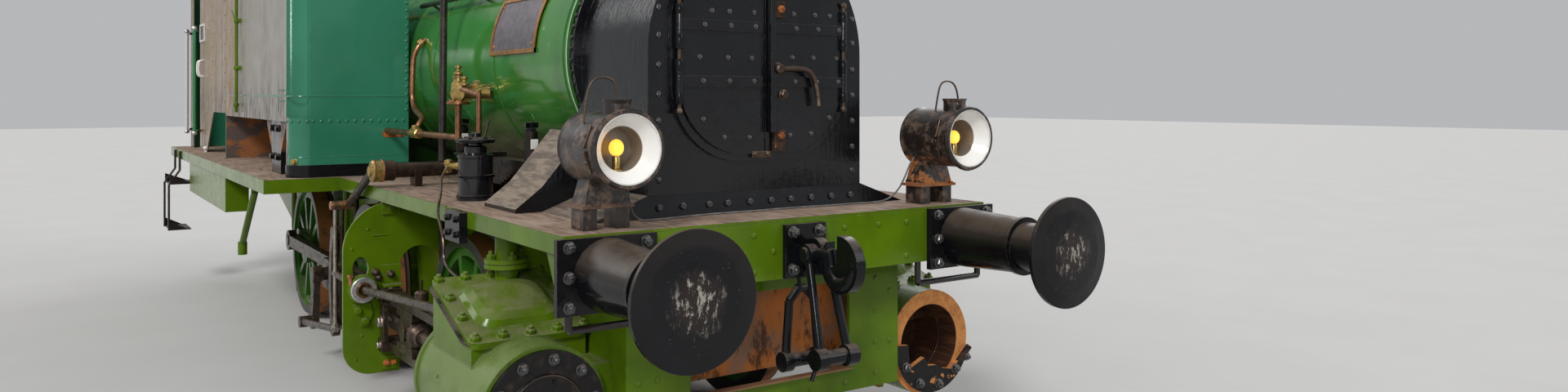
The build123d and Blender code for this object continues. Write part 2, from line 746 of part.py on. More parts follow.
# Open-topped coal bunkers inside the cab, one on each side of the firebox, on a wall down to the floor
with BuildPart() as bunker:
    front = x_at(cab_front_back + cab_wall) - seat_gap
    rear = x_at(bunker_rear_back)
    outer = cab_half - cab_wall - seat_gap
    for side in (1, -1):
        block((rear, front), (side * bunker_inner, side * outer), (z_at(side_low_up), z_at(bunker_top_up)))
        block((rear + cab_wall, front - cab_wall),
              (side * (bunker_inner + cab_wall), side * (outer - cab_wall)),
              (z_at(side_low_up) + cab_wall, z_at(bunker_top_up) + 10), mode=Mode.SUBTRACT)
        block((rear, front), (side * bunker_inner, side * (bunker_inner + cab_wall)),
              (deck_top + seat_gap, z_at(side_low_up) + cab_wall))
save(bunker, "coal_bunker")

# Firebox back with its fire door, regulator and gauges, seen through the doorways
with BuildPart() as backhead:
    x = x_at(firebox_rear_back)
    rod((x - 0.3, 0, z_at(1500)), (x - 60, 0, z_at(1500)), 190)
    rod((x - 0.3, 0, z_at(2150)), (x - 120, 0, z_at(2150)), 30)
    rod((x - 100, 0, z_at(2150)), (x - 100, 180, z_at(2020)), 12)
    for y in (-230, 230):
        rod((x - 0.3, y, z_at(2250)), (x - 60, y, z_at(2250)), 60)
    rod((x - 700, -560, deck_top + seat_gap), (x - 700, -560, z_at(1320)), 60)
    rod((x - 700, -560, z_at(1300)), (x - 760, -560, z_at(2000)), 16)
save(backhead, "backhead_fittings")

# Wheelsets: axle, two spoked wheels with crank bosses, balance weights and crank pins
axle_names = ("axle_front", "axle_middle", "axle_rear")
pin_radius = 42
pin_end_y = coupling_rod_y + coupling_rod_thickness / 2 + 6


def crank_offset(side):
    """Crank pin offset from the axle for one side; the left side leads by a quarter turn."""
    if side == -1:
        return crank_x, crank_z
    return -crank_z, crank_x


for back, axle_name in zip(axle_backs, axle_names):
    with BuildPart() as wheelset:
        x = x_at(back)
        rod((x, -tyre_inner_y - 20, axle_z), (x, tyre_inner_y + 20, axle_z), axle_radius)
        for side in (1, -1):
            inner = side * tyre_inner_y
            outer = side * tyre_outer_y
            web_inner = side * (tyre_inner_y + 35)
            web_outer = side * (tyre_outer_y - 20)
            pin_x, pin_z = crank_offset(side)
            tread_inner = wheel_radius - tyre_thickness
            with BuildSketch(Plane(origin=(x, 0, axle_z), x_dir=(0, 1, 0), z_dir=(1, 0, 0))) as tyre:
                with BuildLine():
                    Polyline(
                        (inner, tread_inner), (outer, tread_inner), (outer, wheel_radius - 5),
                        (side * (tyre_inner_y + 33), wheel_radius),
                        (side * (tyre_inner_y + 26), wheel_radius + 18),
                        (side * (tyre_inner_y + 14), wheel_radius + flange_depth),
                        (inner, wheel_radius + 12), close=True,
                    )
                make_face()
            revolve(tyre.sketch, axis=Axis((x, 0, axle_z), (0, 1, 0)))
            with BuildSketch(Plane(origin=(x, web_inner, axle_z), x_dir=(1, 0, 0),
                                   z_dir=(0, side, 0))) as web:
                Circle(tread_inner + 4)
                Circle(tread_inner - 45, mode=Mode.SUBTRACT)
                Circle(105)
                with PolarLocations(0, spoke_count):
                    with Locations((240, 0)):
                        Rectangle(360, 44)
            extrude(web.sketch, amount=abs(web_outer - web_inner))
            rod((x, side * (tyre_inner_y + 5), axle_z), (x, side * (tyre_outer_y + 8), axle_z), 112)
            rod((x + pin_x, web_inner, axle_z + pin_z),
                (x + pin_x, side * (tyre_outer_y + 8), axle_z + pin_z), 88)
            rod((x + pin_x, outer, axle_z + pin_z), (x + pin_x, side * pin_end_y, axle_z + pin_z), pin_radius)
            weight_angle = math.degrees(math.atan2(-pin_z, -pin_x)) * -side
            with BuildSketch(Plane(origin=(x, web_inner, axle_z), x_dir=(1, 0, 0),
                                   z_dir=(0, side, 0))) as weight:
                with BuildLine():
                    CenterArc((0, 0), tread_inner - 30, weight_angle - 38, 76)
                    Line(CenterArc((0, 0), tread_inner - 30, weight_angle - 38, 76, mode=Mode.PRIVATE) @ 0,
                         CenterArc((0, 0), tread_inner - 30, weight_angle - 38, 76, mode=Mode.PRIVATE) @ 1)
                make_face()
            extrude(weight.sketch, amount=abs(web_outer - web_inner))
    save(wheelset, axle_name)

# Coupling rods: one bar a side over all three crank pins
rod_eye_radius = 78
pin_fit = 0.6
for side, side_name in ((1, "left"), (-1, "right")):
    with BuildPart() as coupling_rod:
        pin_x, pin_z = crank_offset(side)
        rod_y0 = side * (coupling_rod_y - coupling_rod_thickness / 2)
        pins = [(x_at(back) + pin_x, axle_z + pin_z) for back in axle_backs]
        with BuildSketch(along_x(rod_y0, 0)) as outline:
            with Locations(*pins):
                Circle(rod_eye_radius)
            with Locations(((pins[0][0] + pins[2][0]) / 2, pins[0][1])):
                Rectangle(pins[0][0] - pins[2][0], 84)
            with Locations(*pins):
                Circle(pin_radius + pin_fit, mode=Mode.SUBTRACT)
        extrude(outline.sketch, amount=-side * coupling_rod_thickness)
    save(coupling_rod, f"coupling_rod_{side_name}")

# Cylinders: round barrel, sloped valve chest under a domed lid, steam pipe up to the running plate.
# The right one has its front cover; the left one's cover is broken, with its lower part left on the bore.
chest_front_back = 1160
chest_front_up = 725
chest_rear_back = 1625
chest_rear_up = 895
chest_inner_y = 715
chest_outer_y = 1185
cover_radius = 235
cover_thickness = 30
broken_edge = (
    # across and above the bore's centre, from the inboard side to the outboard side
    (-300, 20), (-160, 10), (-150, -102), (-55, -63), (-35, -105), (22, -109), (65, -130), (127, -144),
    (223, -67), (300, -60),
)
slope = math.atan2(chest_rear_up - chest_front_up, chest_rear_back - chest_front_back)
slope_length = math.hypot(chest_rear_up - chest_front_up, chest_rear_back - chest_front_back)
for side, side_name in ((1, "left"), (-1, "right")):
    with BuildPart() as cylinder:
        y = side * cylinder_y
        joint = x_at(cylinder_front_back) - cover_thickness
        rear = x_at(cylinder_rear_back)
        turned(
            (
                (rear, 60), (rear, cover_radius - 20), (rear + 30, cover_radius - 20),
                (rear + 30, cylinder_outer_radius + 8), (rear + 60, cylinder_outer_radius + 8),
                (rear + 60, cylinder_outer_radius), (joint, cylinder_outer_radius),
                (joint, cylinder_bore / 2),
                (joint - 300, cylinder_bore / 2), (joint - 300, 60),
            ),
            y, axle_z,
        )
        if side == -1:
            turned(((joint - 2, 0), (joint - 2, cover_radius), (joint + 20, cover_radius), (joint + 20, 150),
                    (joint + cover_thickness, 142), (joint + cover_thickness, 0)), y, axle_z)
        else:
            with BuildSketch(Plane.YZ.offset(joint - 2)) as remnant:
                with Locations((y, axle_z)):
                    Circle(cover_radius)
                with BuildLine():
                    Polyline((y - 300, axle_z - 300), *[(y + dy, axle_z + dz) for dy, dz in broken_edge],
                             (y + 300, axle_z - 300), close=True)
                make_face(mode=Mode.INTERSECT)
            extrude(remnant.sketch, amount=cover_thickness + 2)
        side_plate(
            (
                (x_at(chest_front_back), z_at(560)), (x_at(chest_front_back), z_at(chest_front_up)),
                (x_at(chest_rear_back), z_at(chest_rear_up)), (x_at(chest_rear_back), z_at(560)),
            ),
            side * chest_inner_y, side * chest_outer_y,
        )
        lid_plane = Plane(
            origin=(x_at((chest_front_back + chest_rear_back) / 2),
                    side * (chest_inner_y + chest_outer_y) / 2,
                    z_at((chest_front_up + chest_rear_up) / 2) - 2),
            x_dir=(math.cos(slope), 0, -math.sin(slope)), z_dir=(math.sin(slope), 0, math.cos(slope)),
        )
        with BuildSketch(lid_plane) as lid_plate:
            RectangleRounded(slope_length + 30, chest_outer_y - chest_inner_y + 24, 45)
        extrude(lid_plate.sketch, amount=30)
        domed = []
        for height, wide, long in ((28, 360, 330), (52, 330, 300), (72, 270, 240), (80, 190, 160)):
            with BuildSketch(lid_plane.offset(height)) as layer:
                RectangleRounded(long, wide, 75)
            domed.append(layer.sketch)
        loft(domed, ruled=True)
        block((rear + 30, joint - 30), (side * front_plate_half, side * 800), (z_at(400), z_at(640)))
        pipe_y = side * 900
        rod((x_at(1550), pipe_y, z_at(840)),
            (x_at(1550), pipe_y, z_at(deck_up - deck_thickness) - seat_gap), 48)
        rod((x_at(1550), pipe_y, z_at(958)), (x_at(1550), pipe_y, z_at(998)), 92)
    save(cylinder, f"cylinder_{side_name}")

# Slide bars with an oil cup on each upper one, crossheads with piston rods, and main rods
with BuildPart() as slide_bars:
    bar_rear_x = x_at(motion_plate_back) + motion_plate_thickness + seat_gap
    bar_front_x = x_at(cylinder_rear_back) - seat_gap
    for side in (1, -1):
        for up in (bar_offset, -bar_offset - bar_height):
            block((bar_rear_x, bar_front_x), (side * (cylinder_y - 38), side * (cylinder_y + 38)),
                  (axle_z + up, axle_z + up + bar_height))
        cup_z = axle_z + bar_offset + bar_height
        turned_up(((0, cup_z - 2), (34, cup_z - 2), (34, cup_z + 66), (22, cup_z + 76), (6, cup_z + 76),
                   (6, cup_z + 130), (0, cup_z + 130)), x_at(2480), side * cylinder_y)
save(slide_bars, "slide_bars")

with BuildPart() as crossheads:
    for side in (1, -1):
        y = side * cylinder_y
        x = x_at(crosshead_back)
        shoe_half = bar_offset - seat_gap
        for shoe_z in (axle_z - shoe_half, axle_z + shoe_half - 38):
            block((x - 130, x + 130), (y - 45, y + 45), (shoe_z, shoe_z + 38))
        block((x - 95, x + 95), (y - 38, y + 38), (axle_z - shoe_half + 10, axle_z + shoe_half - 10))
        rod((x, y - 58, axle_z), (x, y + 58, axle_z), 44)
        turned(((x + 90, 0), (x + 90, 62), (x + 140, 62), (x + 152, 50), (x + 190, 46), (x + 190, 0)), y,
               axle_z)
        rod((x + 140, y, axle_z), (x_at(cylinder_rear_back) + 40, y, axle_z), 30)
save(crossheads, "crossheads")

with BuildPart() as main_rods:
    for side in (1, -1):
        y = side * cylinder_y
        pin_x, pin_z = crank_offset(side)
        big_x = x_at(axle_backs[1]) + pin_x
        big_z = axle_z + pin_z
        near_x = x_at(crosshead_back) - 130 - seat_gap
        with BuildSketch(along_x(side * (cylinder_y - main_rod_thickness / 2), 0)) as outline:
            with BuildLine():
                Polyline((near_x, axle_z - 38), (near_x, axle_z + 38), (big_x, big_z + 55),
                         (big_x, big_z - 55),
                         close=True)
            make_face()
            with Locations((big_x, big_z)):
                RectangleRounded(190, 190, 30)
        extrude(outline.sketch, amount=-side * main_rod_thickness)
        with BuildSketch(along_x(side * (cylinder_y + main_rod_thickness / 2), 0)) as flute:
            with BuildLine():
                Polyline((near_x - 160, axle_z - 16), (near_x - 160, axle_z + 16), (big_x + 160, big_z + 30),
                         (big_x + 160, big_z - 30), close=True)
            make_face()
        extrude(flute.sketch, amount=side * 12, mode=Mode.SUBTRACT)
        rod((big_x, side * (pin_end_y + 8), big_z), (big_x, side * (cylinder_y + 50), big_z), pin_radius)
save(main_rods, "main_rods")

# Valve gear: return crank, eccentric rod, link, radius rod and hanger on each side
with BuildPart() as valve_gear:
    for side in (1, -1):
        pin_x, pin_z = crank_offset(side)
        big_x = x_at(axle_backs[1]) + pin_x
        big_z = axle_z + pin_z
        reach, drop = (-300, -260) if side == -1 else (260, -300)
        eccentric_x = x_at(axle_backs[1]) + reach
        eccentric_z = axle_z + drop
        link_x = x_at(link_back)
        arm_y = gear_y - 66
        rod((big_x, side * (cylinder_y + 50), big_z), (big_x, side * (gear_y - 40), big_z), 50)
        with BuildSketch(along_x(side * (arm_y - 20), 0)) as return_crank:
            with BuildLine():
                Line((big_x, big_z), (eccentric_x, eccentric_z))
            trace(line_width=76)
            with Locations((big_x, big_z), (eccentric_x, eccentric_z)):
                Circle(54)
        extrude(return_crank.sketch, amount=-side * 40)
        rod((eccentric_x, side * (arm_y - 10), eccentric_z),
            (eccentric_x, side * (gear_y + 25), eccentric_z), 36)
        rod((eccentric_x, side * gear_y, eccentric_z), (link_x, side * gear_y, z_at(link_low_up)), 20)
        with BuildSketch(along_x(side * (gear_y - 20), 0)) as link:
            with BuildLine():
                ThreePointArc((link_x, z_at(link_low_up)),
                              (link_x - 45, z_at((link_low_up + link_top_up) / 2)),
                              (link_x, z_at(link_top_up)))
            trace(line_width=60)
            with Locations((link_x, z_at(link_low_up)), (link_x, z_at(link_top_up))):
                Circle(38)
        extrude(link.sketch, amount=-side * 40)
        guide_end_x = x_at(motion_plate_back) + motion_plate_thickness + 50
        chest_x = x_at(chest_rear_back)
        rod((link_x - 45, side * gear_y, z_at(valve_rod_up)),
            (guide_end_x, side * gear_y, z_at(valve_rod_up)), 20)
        rod((guide_end_x, side * gear_y, z_at(valve_rod_up)),
            (chest_x - 2, side * gear_y, z_at(valve_rod_front_up)), 20)
        rod((chest_x - 60, side * gear_y, z_at(valve_rod_front_up)),
            (chest_x - seat_gap, side * gear_y, z_at(valve_rod_front_up)), 38)
        rod((link_x, side * (gear_y - 28), z_at(link_low_up)),
            (link_x + 40, side * (gear_y - 28), z_at(1075)), 12)
save(valve_gear, "valve_gear")

# Reversing shaft across the running plate, with its arms and the reach rod to the cab
shaft_up = 1285
with BuildPart() as reversing_shaft:
    x = x_at(3050)
    rod((x, -960, z_at(shaft_up)), (x, -boiler_radius - 10, z_at(shaft_up)), 40)
    rod((x, 960, z_at(shaft_up)), (x, boiler_radius + 10, z_at(shaft_up)), 40)
    for side in (1, -1):
        block((x - 45, x + 45), (side * 820, side * 860), (deck_top + seat_gap, z_at(shaft_up)))
        rod((x, side * 960, z_at(shaft_up)), (x, side * 1075, z_at(shaft_up)), 55)
        rod((x, side * 1067.7, z_at(shaft_up)), (x_at(3580), side * 1067.7, z_at(1062)), 22)
save(reversing_shaft, "reversing_shaft")

# Leaf springs: those of the front axle stand on the running plate, the others hang below the frames
with BuildPart() as springs:
    spring_y = 660
    for side in (1, -1):
        x = x_at(axle_backs[0])
        for leaf_index in range(9):
            half = 200 + 38 * leaf_index
            low = z_at(1258) + 14 * leaf_index
            block((x - half, x + half), (side * (spring_y - 40), side * (spring_y + 40)), (low, low + 13.4))
        block((x - 42, x + 42), (side * (spring_y - 48), side * (spring_y + 48)),
              (deck_top + seat_gap, z_at(1258 + 14 * 9 + 22)))
        for hanger_x in (x - 480, x + 480):
            turned_up(((0, deck_top + seat_gap), (22, deck_top + seat_gap), (22, z_at(1340)),
                       (34, z_at(1400)),
                       (34, z_at(1440)), (30, z_at(1440)), (30, z_at(1520)), (0, z_at(1520))),
                      hanger_x, side * spring_y)
    for back in axle_backs[1:]:
        for side in (1, -1):
            for leaf_index in range(8):
                half = 400 - 42 * leaf_index
                low = z_at(190) - 14 * leaf_index + 98
                block((x_at(back) - half, x_at(back) + half), (side * 560, side * 645), (low, low + 13))
            block((x_at(back) - 40, x_at(back) + 40), (side * 550, side * 655), (z_at(180), z_at(302)))
            rod((x_at(back), side * 602, z_at(300)), (x_at(back), side * 602, axle_z - 120.3), 26)
save(springs, "springs")

# Brake blocks, hangers and rigging on the wheels
with BuildPart() as brake_gear:
    for back in axle_backs:
        for side in (1, -1):
            x = x_at(back)
            with BuildSketch(along_x(side * 690, axle_z)) as shoe:
                with Locations((x, 0)):
                    Circle(wheel_radius + 52)
                    Circle(wheel_radius + 12, mode=Mode.SUBTRACT)
                    with Locations((400, -20)):
                        Rectangle(1400, 300, mode=Mode.INTERSECT)
                with Locations((x + 400, 0)):
                    Rectangle(800, 2000, mode=Mode.SUBTRACT)
            extrude(shoe.sketch, amount=-side * 110)
            rod((x - wheel_radius - 60, side * 745, z_at(310)),
                (x - wheel_radius - 60, side * 745, z_at(1000)), 16)
            rod((x - wheel_radius - 60, side * 745, z_at(1000)),
                (x - wheel_radius - 60, side * frame_outer_y, z_at(1000)), 20)
            rod((x - wheel_radius - 60, side * 760, z_at(310)), (x - wheel_radius - 60, 0, z_at(310)), 20)
save(brake_gear, "brake_gear")

# Sand pipes, down to the treads
with BuildPart() as sand_pipes:
    for side in (1, -1):
        for back, lean in ((axle_backs[1] + 700, -120), (axle_backs[2] + 640, -60)):
            top_x = x_at(back + 40)
            rod((top_x, side * 770, z_at(deck_up - deck_thickness) - seat_gap),
                (top_x, side * 770, z_at(600)), 20)
            rod((top_x, side * 770, z_at(612)), (top_x - lean, side * 745, z_at(70)), 20)
        pipe_y = side * (wide_deck_half - 120)
        rod((x_at(5030), pipe_y, z_at(deck_up - deck_thickness) - seat_gap),
            (x_at(5030), pipe_y, z_at(1040)), 22)
        rod((x_at(5022), pipe_y, z_at(1046)), (x_at(5540), pipe_y, z_at(640)), 22)
        rod((x_at(5540), pipe_y, z_at(650)), (x_at(5540), pipe_y, z_at(560)), 30)
save(sand_pipes, "sand_pipes")

# Cab steps: two treads between bent straps that hang outside the valance under each doorway
step_overhang = 100
strap_thickness = 14
strap_width = 60
step_inset = 30
with BuildPart() as cab_steps:
    inner_top = wide_deck_half + seat_gap
    inner_low = wide_deck_half + step_overhang - strap_thickness
    step_front_x = x_at(door_front_back + step_inset)
    step_rear_x = x_at(door_rear_back - step_inset)
    for side in (1, -1):
        strap = (
            # distance from the centre line, height
            (inner_top, deck_up - deck_thickness), (inner_top, 1010), (inner_low, 880), (inner_low, 470),
        )
        points = [(side * y, z_at(up)) for y, up in strap]
        points += [(side * (y + strap_thickness), z_at(up)) for y, up in reversed(strap)]
        for strap_x in (step_rear_x, step_front_x - strap_width):
            cross_plate(points, strap_x, strap_x + strap_width)
        for up, depth in ((884, 220), (470, 170)):
            block((step_rear_x, step_front_x), (side * (inner_low + 2 - depth), side * (inner_low + 2)),
                  (z_at(up), z_at(up + 9)))
            for brace_x in (step_rear_x, step_front_x - 10):
                cross_plate(((side * (inner_low + 1), z_at(up + 1)), (side * (inner_low + 1), z_at(up + 80)),
                             (side * (inner_low + 20 - depth), z_at(up + 1))), brace_x, brace_x + 10)
save(cab_steps, "cab_steps")

# Head lamps: a drum with a rolled rim, an open reflector and a vent, on a tapered box with a lip and two legs
lamp_up = 1497
lamp_y = 837
lamp_front_back = 533
lamp_radius = 138
lamp_drum_radius = 130
lamp_length = 330
stand_back = 790
stand_y = 826
stand_lip_up = 1276
with BuildPart() as lamps:
    for side in (1, -1):
        y = side * lamp_y
        z = z_at(lamp_up)
        front = x_at(lamp_front_back)
        turned(
            (
                (front, 126), (front, lamp_radius), (front - 12, lamp_radius + 6), (front - 26, lamp_radius),
                (front - 26, lamp_drum_radius), (front - lamp_length + 26, lamp_drum_radius),
                (front - lamp_length + 14, lamp_drum_radius + 5), (front - lamp_length, lamp_drum_radius - 6),
                (front - lamp_length, 0), (front - 150, 0), (front - 150, 76), (front - 62, 80),
                (front - 10, 122),
            ),
            y, z,
        )
        vent_z = z + lamp_drum_radius
        turned_up(((38, vent_z - 20), (50, vent_z - 20), (50, vent_z + 30), (56, vent_z + 46),
                   (48, vent_z + 46),
                   (38, vent_z + 30)), front - 100, y)
        x = x_at(stand_back)
        box_y = side * stand_y
        lip_z = z_at(stand_lip_up)
        block((x - 68, x + 68), (box_y - 105, box_y + 105), (lip_z - 2, lip_z + 10))
        for leg_y in (box_y - 66, box_y + 66):
            block((x - 52, x + 52), (leg_y - 27, leg_y + 27), (deck_top + seat_gap, lip_z))
        with BuildSketch(Plane.XY.offset(lip_z + 8)) as low:
            with Locations((x, box_y)):
                Rectangle(116, 180)
        with BuildSketch(Plane.XY.offset(z_at(1400))) as high:
            with Locations((x, box_y)):
                Rectangle(90, 124)
        loft((low.sketch, high.sketch), ruled=True)
save(lamps, "lamps")

# Shunter's grab rods under the beams, rails along the boiler and beside the doorways, steam pipes to the dome
rail_radius = 15
rail_y = 540
rail_up = boiler_up + 380
door_rail_y = cab_half + 50
with BuildPart() as handrails:
    for end in (1, -1):
        face = end * x_at(beam_back)
        for side in (1, -1):
            x = face - end * 15
            beam_low = z_at(beam_bottom_up) - seat_gap
            corners = ((x, side * 640, beam_low), (x, side * 640, z_at(860)),
                       (x, side * 1010, z_at(860)), (x, side * 1010, beam_low))
            for start, finish in zip(corners, corners[1:]):
                rod(start, finish, 14)
    for side in (1, -1):
        rod((x_at(1150), side * rail_y, z_at(rail_up)), (x_at(3960), side * rail_y, z_at(rail_up)),
            rail_radius)
        rise = rail_up - boiler_up
        reach = math.hypot(rail_y, rise)
        for back, shell_radius in ((1200, smokebox_half), (2050, boiler_radius), (2900, boiler_radius),
                                   (3750, boiler_radius)):
            share = (shell_radius + seat_gap) / reach
            rod((x_at(back), side * rail_y * share, z_at(boiler_up + rise * share)),
                (x_at(back), side * rail_y, z_at(rail_up)), 10)
        for back in (door_front_back - 40, door_rear_back + 40):
            rod((x_at(back), side * door_rail_y, z_at(1350)), (x_at(back), side * door_rail_y, z_at(2300)),
                rail_radius)
            for up in (1370, 2280):
                rod((x_at(back), side * (cab_half + seat_gap), z_at(up)),
                    (x_at(back), side * door_rail_y, z_at(up)), 12)
        dome_x, dome_y = x_at(dome_sizes[0][0]), dome_sizes[0][1] + 0.8
        steam_pipe = ((dome_x, side * 700, z_at(1326)), (dome_x, side * 690, z_at(boiler_up + 410)),
                      (dome_x, side * 560, z_at(boiler_up + 750)),
                      (dome_x, side * dome_y, z_at(boiler_up + 750)))
        for start, finish in zip(steam_pipe, steam_pipe[1:]):
            rod(start, finish, 20)
save(handrails, "handrails")

# Lubricators on the running plate, and check valves on the barrel with their feed pipes
valve_back = 2640
valve_y = 745
with BuildPart() as boiler_fittings:
    for side in (1, -1):
        y = side * valve_y
        turned_up(((0, deck_top + seat_gap), (86, deck_top + seat_gap), (86, deck_top + 12),
                   (80, deck_top + 12),
                   (80, deck_top + 196), (84, deck_top + 200), (84, deck_top + 212), (52, deck_top + 222),
                   (52, deck_top + 250), (30, deck_top + 256), (30, deck_top + 280), (0, deck_top + 280)),
                  x_at(2120), side * 835)
        valve_z = z_at(boiler_up - 158)
        rod((x_at(valve_back), side * 540, valve_z), (x_at(valve_back), y, valve_z), 34)
        rod((x_at(valve_back), side * 640, valve_z), (x_at(valve_back), side * 662, valve_z), 56)
        turned_up(((0, valve_z - 72), (40, valve_z - 72), (40, valve_z - 50), (28, valve_z - 44),
                   (28, valve_z - 12), (36, valve_z - 6), (36, valve_z + 38), (26, valve_z + 46),
                   (26, valve_z + 78), (0, valve_z + 84)), x_at(valve_back), y)
        feed = ((x_at(valve_back), y, valve_z - 70), (x_at(valve_back), y, z_at(1470)),
                (x_at(tank_front_back) + seat_gap, y, z_at(1470)))
        drip = ((x_at(valve_back), y, valve_z + 14), (x_at(2330), y, valve_z - 22),
                (x_at(2330), y, z_at(1420)),
                (x_at(2150), side * 815, z_at(1420)))
        for route, radius in ((feed, 17), (drip, 13)):
            for start, finish in zip(route, route[1:]):
                rod(start, finish, radius)
            for x, y_bend, z in route[1:-1]:
                rod((x, y_bend, z - radius), (x, y_bend, z + radius), radius)
    rod((x_at(valve_back + 60), 0, z_at(boiler_up)), (x_at(valve_back - 54), 0, z_at(boiler_up)),
        boiler_radius + seat_gap, mode=Mode.SUBTRACT)
save(boiler_fittings, "boiler_fittings")

# Lamp cable from one lamp to the other, lying on the running plate before the smokebox
cable_radius = 4
cable_route = (
    # back, y, up
    (800, -744.9, 1404.9), (802, -722, 1380), (812, -700, 1318), (830, -682, 1252), (852, -640, 1206),
    (874, -574, 1199.3),
    (892, -490, 1199.3), (905, -395, 1199.3), (919, -302, 1199.3), (924, -190, 1199.3), (915, -78, 1199.3),
    (922, 34, 1199.3), (928, 146, 1199.3), (919, 258, 1199.3), (911, 368, 1199.3), (916, 474, 1199.3),
    (898, 562, 1199.3), (868, 634, 1206), (842, 684, 1250), (818, 704, 1312), (803, 724, 1378),
    (800, 744.9, 1404.9),
)
cable_points = [Vector(x_at(back), y, z_at(up)) for back, y, up in cable_route]
cable_radii = []
for before, here, after in zip(cable_points, cable_points[1:], cable_points[2:]):
    run = min((here - before).length, (after - here).length)
    turn = math.radians((here - before).get_angle(after - here))
    cable_radii.append(0.45 * run / math.tan(turn / 2))
print("cable radii in diameters", [round(radius / (2 * cable_radius), 1) for radius in cable_radii])
with BuildPart() as lamp_cable:
    with BuildLine() as cable_line:
        FilletPolyline(*cable_points, radius=cable_radii)
    cable_wire = cable_line.wires()[0]
    with BuildSketch(Plane(origin=cable_wire @ 0, z_dir=cable_wire % 0)) as cable_section:
        Circle(cable_radius)
    sweep(cable_section.sketch, path=cable_wire)
print("cable length", round(cable_wire.length, 1), "volume against section times length",
      round(lamp_cable.part.volume / (math.pi * cable_radius ** 2 * cable_wire.length), 4))
save(lamp_cable, "lamp_cable")
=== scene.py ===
"""Looks of a side-tank steam locomotive: paints, fastenings, fittings, studio and camera."""
import math

import bpy
import numpy as np
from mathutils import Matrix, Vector


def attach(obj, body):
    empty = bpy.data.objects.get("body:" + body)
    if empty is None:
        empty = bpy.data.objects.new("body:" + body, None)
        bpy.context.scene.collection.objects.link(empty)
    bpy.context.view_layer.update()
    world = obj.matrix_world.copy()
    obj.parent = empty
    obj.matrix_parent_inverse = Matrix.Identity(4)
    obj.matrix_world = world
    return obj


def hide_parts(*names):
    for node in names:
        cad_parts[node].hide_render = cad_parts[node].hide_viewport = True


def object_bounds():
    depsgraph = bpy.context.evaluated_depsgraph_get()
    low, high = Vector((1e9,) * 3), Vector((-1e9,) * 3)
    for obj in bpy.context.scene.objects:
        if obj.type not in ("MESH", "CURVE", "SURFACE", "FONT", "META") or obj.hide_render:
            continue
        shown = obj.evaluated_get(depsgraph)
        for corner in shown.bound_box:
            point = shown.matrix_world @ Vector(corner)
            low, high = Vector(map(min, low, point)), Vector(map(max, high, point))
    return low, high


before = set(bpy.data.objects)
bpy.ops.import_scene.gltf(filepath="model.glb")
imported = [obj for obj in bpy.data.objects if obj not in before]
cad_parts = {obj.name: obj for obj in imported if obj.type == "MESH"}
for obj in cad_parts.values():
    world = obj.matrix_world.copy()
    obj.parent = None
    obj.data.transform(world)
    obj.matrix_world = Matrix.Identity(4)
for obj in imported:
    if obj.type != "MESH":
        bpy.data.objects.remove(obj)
cad_low, cad_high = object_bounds()

# Half the length over buffers, and how far the flanges reach below the top of the rail, in metres
HALF_LENGTH, FLANGE = cad_high.x, 0.028
# Where the photograph was taken from, in metres: ahead of the buffer faces, beside the centre line, above the rail
EYE_AHEAD, EYE_SIDE, EYE_UP = 2.782, -2.534, 1.684
YAW_DEGREES = 54.565
PICTURE_WIDE, PICTURE_HIGH = 1920, 480
FOCAL_PIXELS = 1290
HORIZON_PIXELS = 117.7
SENSOR = 36
LEFT, RIGHT = 1, -1
# Heights above the rail, distances from the centre line (Y) and behind the front buffer faces (BACK), in metres
BOILER_UP, SIDE_Y = 1.870, 1.300
LAMP_Y, LAMP_UP = 0.837, 1.497
BUFFER_Y, BUFFER_UP = 0.875, 1.050
LUBRICATOR_BACK, LUBRICATOR_Y = 2.120, 0.835
VALVE_BACK, VALVE_Y = 2.640, 0.745
SHAFT_BACK, HANGER_BACK = 3.050, 3.580
SIDES = ((LEFT, "left"), (RIGHT, "right"))


def at(back, y, up):
    """Frame point of a distance behind the front buffer faces and a height above the rail, in metres."""
    return np.array((HALF_LENGTH - back, y, up + FLANGE))


def places(table):
    """Frame points of rows of (back, y, up)."""
    back, y, up = np.asarray(table, float).reshape(-1, 3).T
    return np.column_stack((HALF_LENGTH - back, y, up + FLANGE))


def in_scene(name, data):
    """New object of a mesh, curve, light or camera, put into the scene."""
    thing = bpy.data.objects.new(name, data)
    bpy.context.scene.collection.objects.link(thing)
    return thing


def make_camera():
    """Level camera: the horizon's place in the picture is a vertical shift, not a tilt."""
    data = bpy.data.cameras.new("camera")
    data.sensor_width = SENSOR
    data.lens = SENSOR * FOCAL_PIXELS / PICTURE_WIDE
    data.shift_y = (HORIZON_PIXELS - PICTURE_HIGH / 2) / PICTURE_WIDE
    camera = in_scene("camera", data)
    camera.location = at(-EYE_AHEAD, EYE_SIDE, EYE_UP)
    camera.rotation_euler = (math.radians(90), 0, math.radians(YAW_DEGREES))
    bpy.context.scene.camera = camera


make_camera()


# A shape is three arrays: its points, the corners of its faces one after another, and how many each face has.
def grid_corners(rows, columns, closed_rows=False, closed_columns=True):
    """Corners of the quads between the points of a grid; a closed direction wraps round."""
    i = np.arange(rows if closed_rows else rows - 1)[:, None]
    j = np.arange(columns if closed_columns else columns - 1)[None, :]
    below, beside = (i + 1) % rows, (j + 1) % columns
    corners = (i * columns + j, i * columns + beside, below * columns + beside, below * columns + j)
    return np.stack(np.broadcast_arrays(*corners), -1).reshape(-1, 4)


def capped(rings):
    """Solid whose side runs through rows of points, with its first and last rows closed by flat faces."""
    rows, columns = rings.shape[:2]
    quads = grid_corners(rows, columns)
    row = np.arange(columns)
    corners = np.concatenate((quads.ravel(), row[::-1], row + (rows - 1) * columns))
    sizes = np.concatenate((np.full(len(quads), 4), (columns, columns)))
    return rings.reshape(-1, 3), corners, sizes


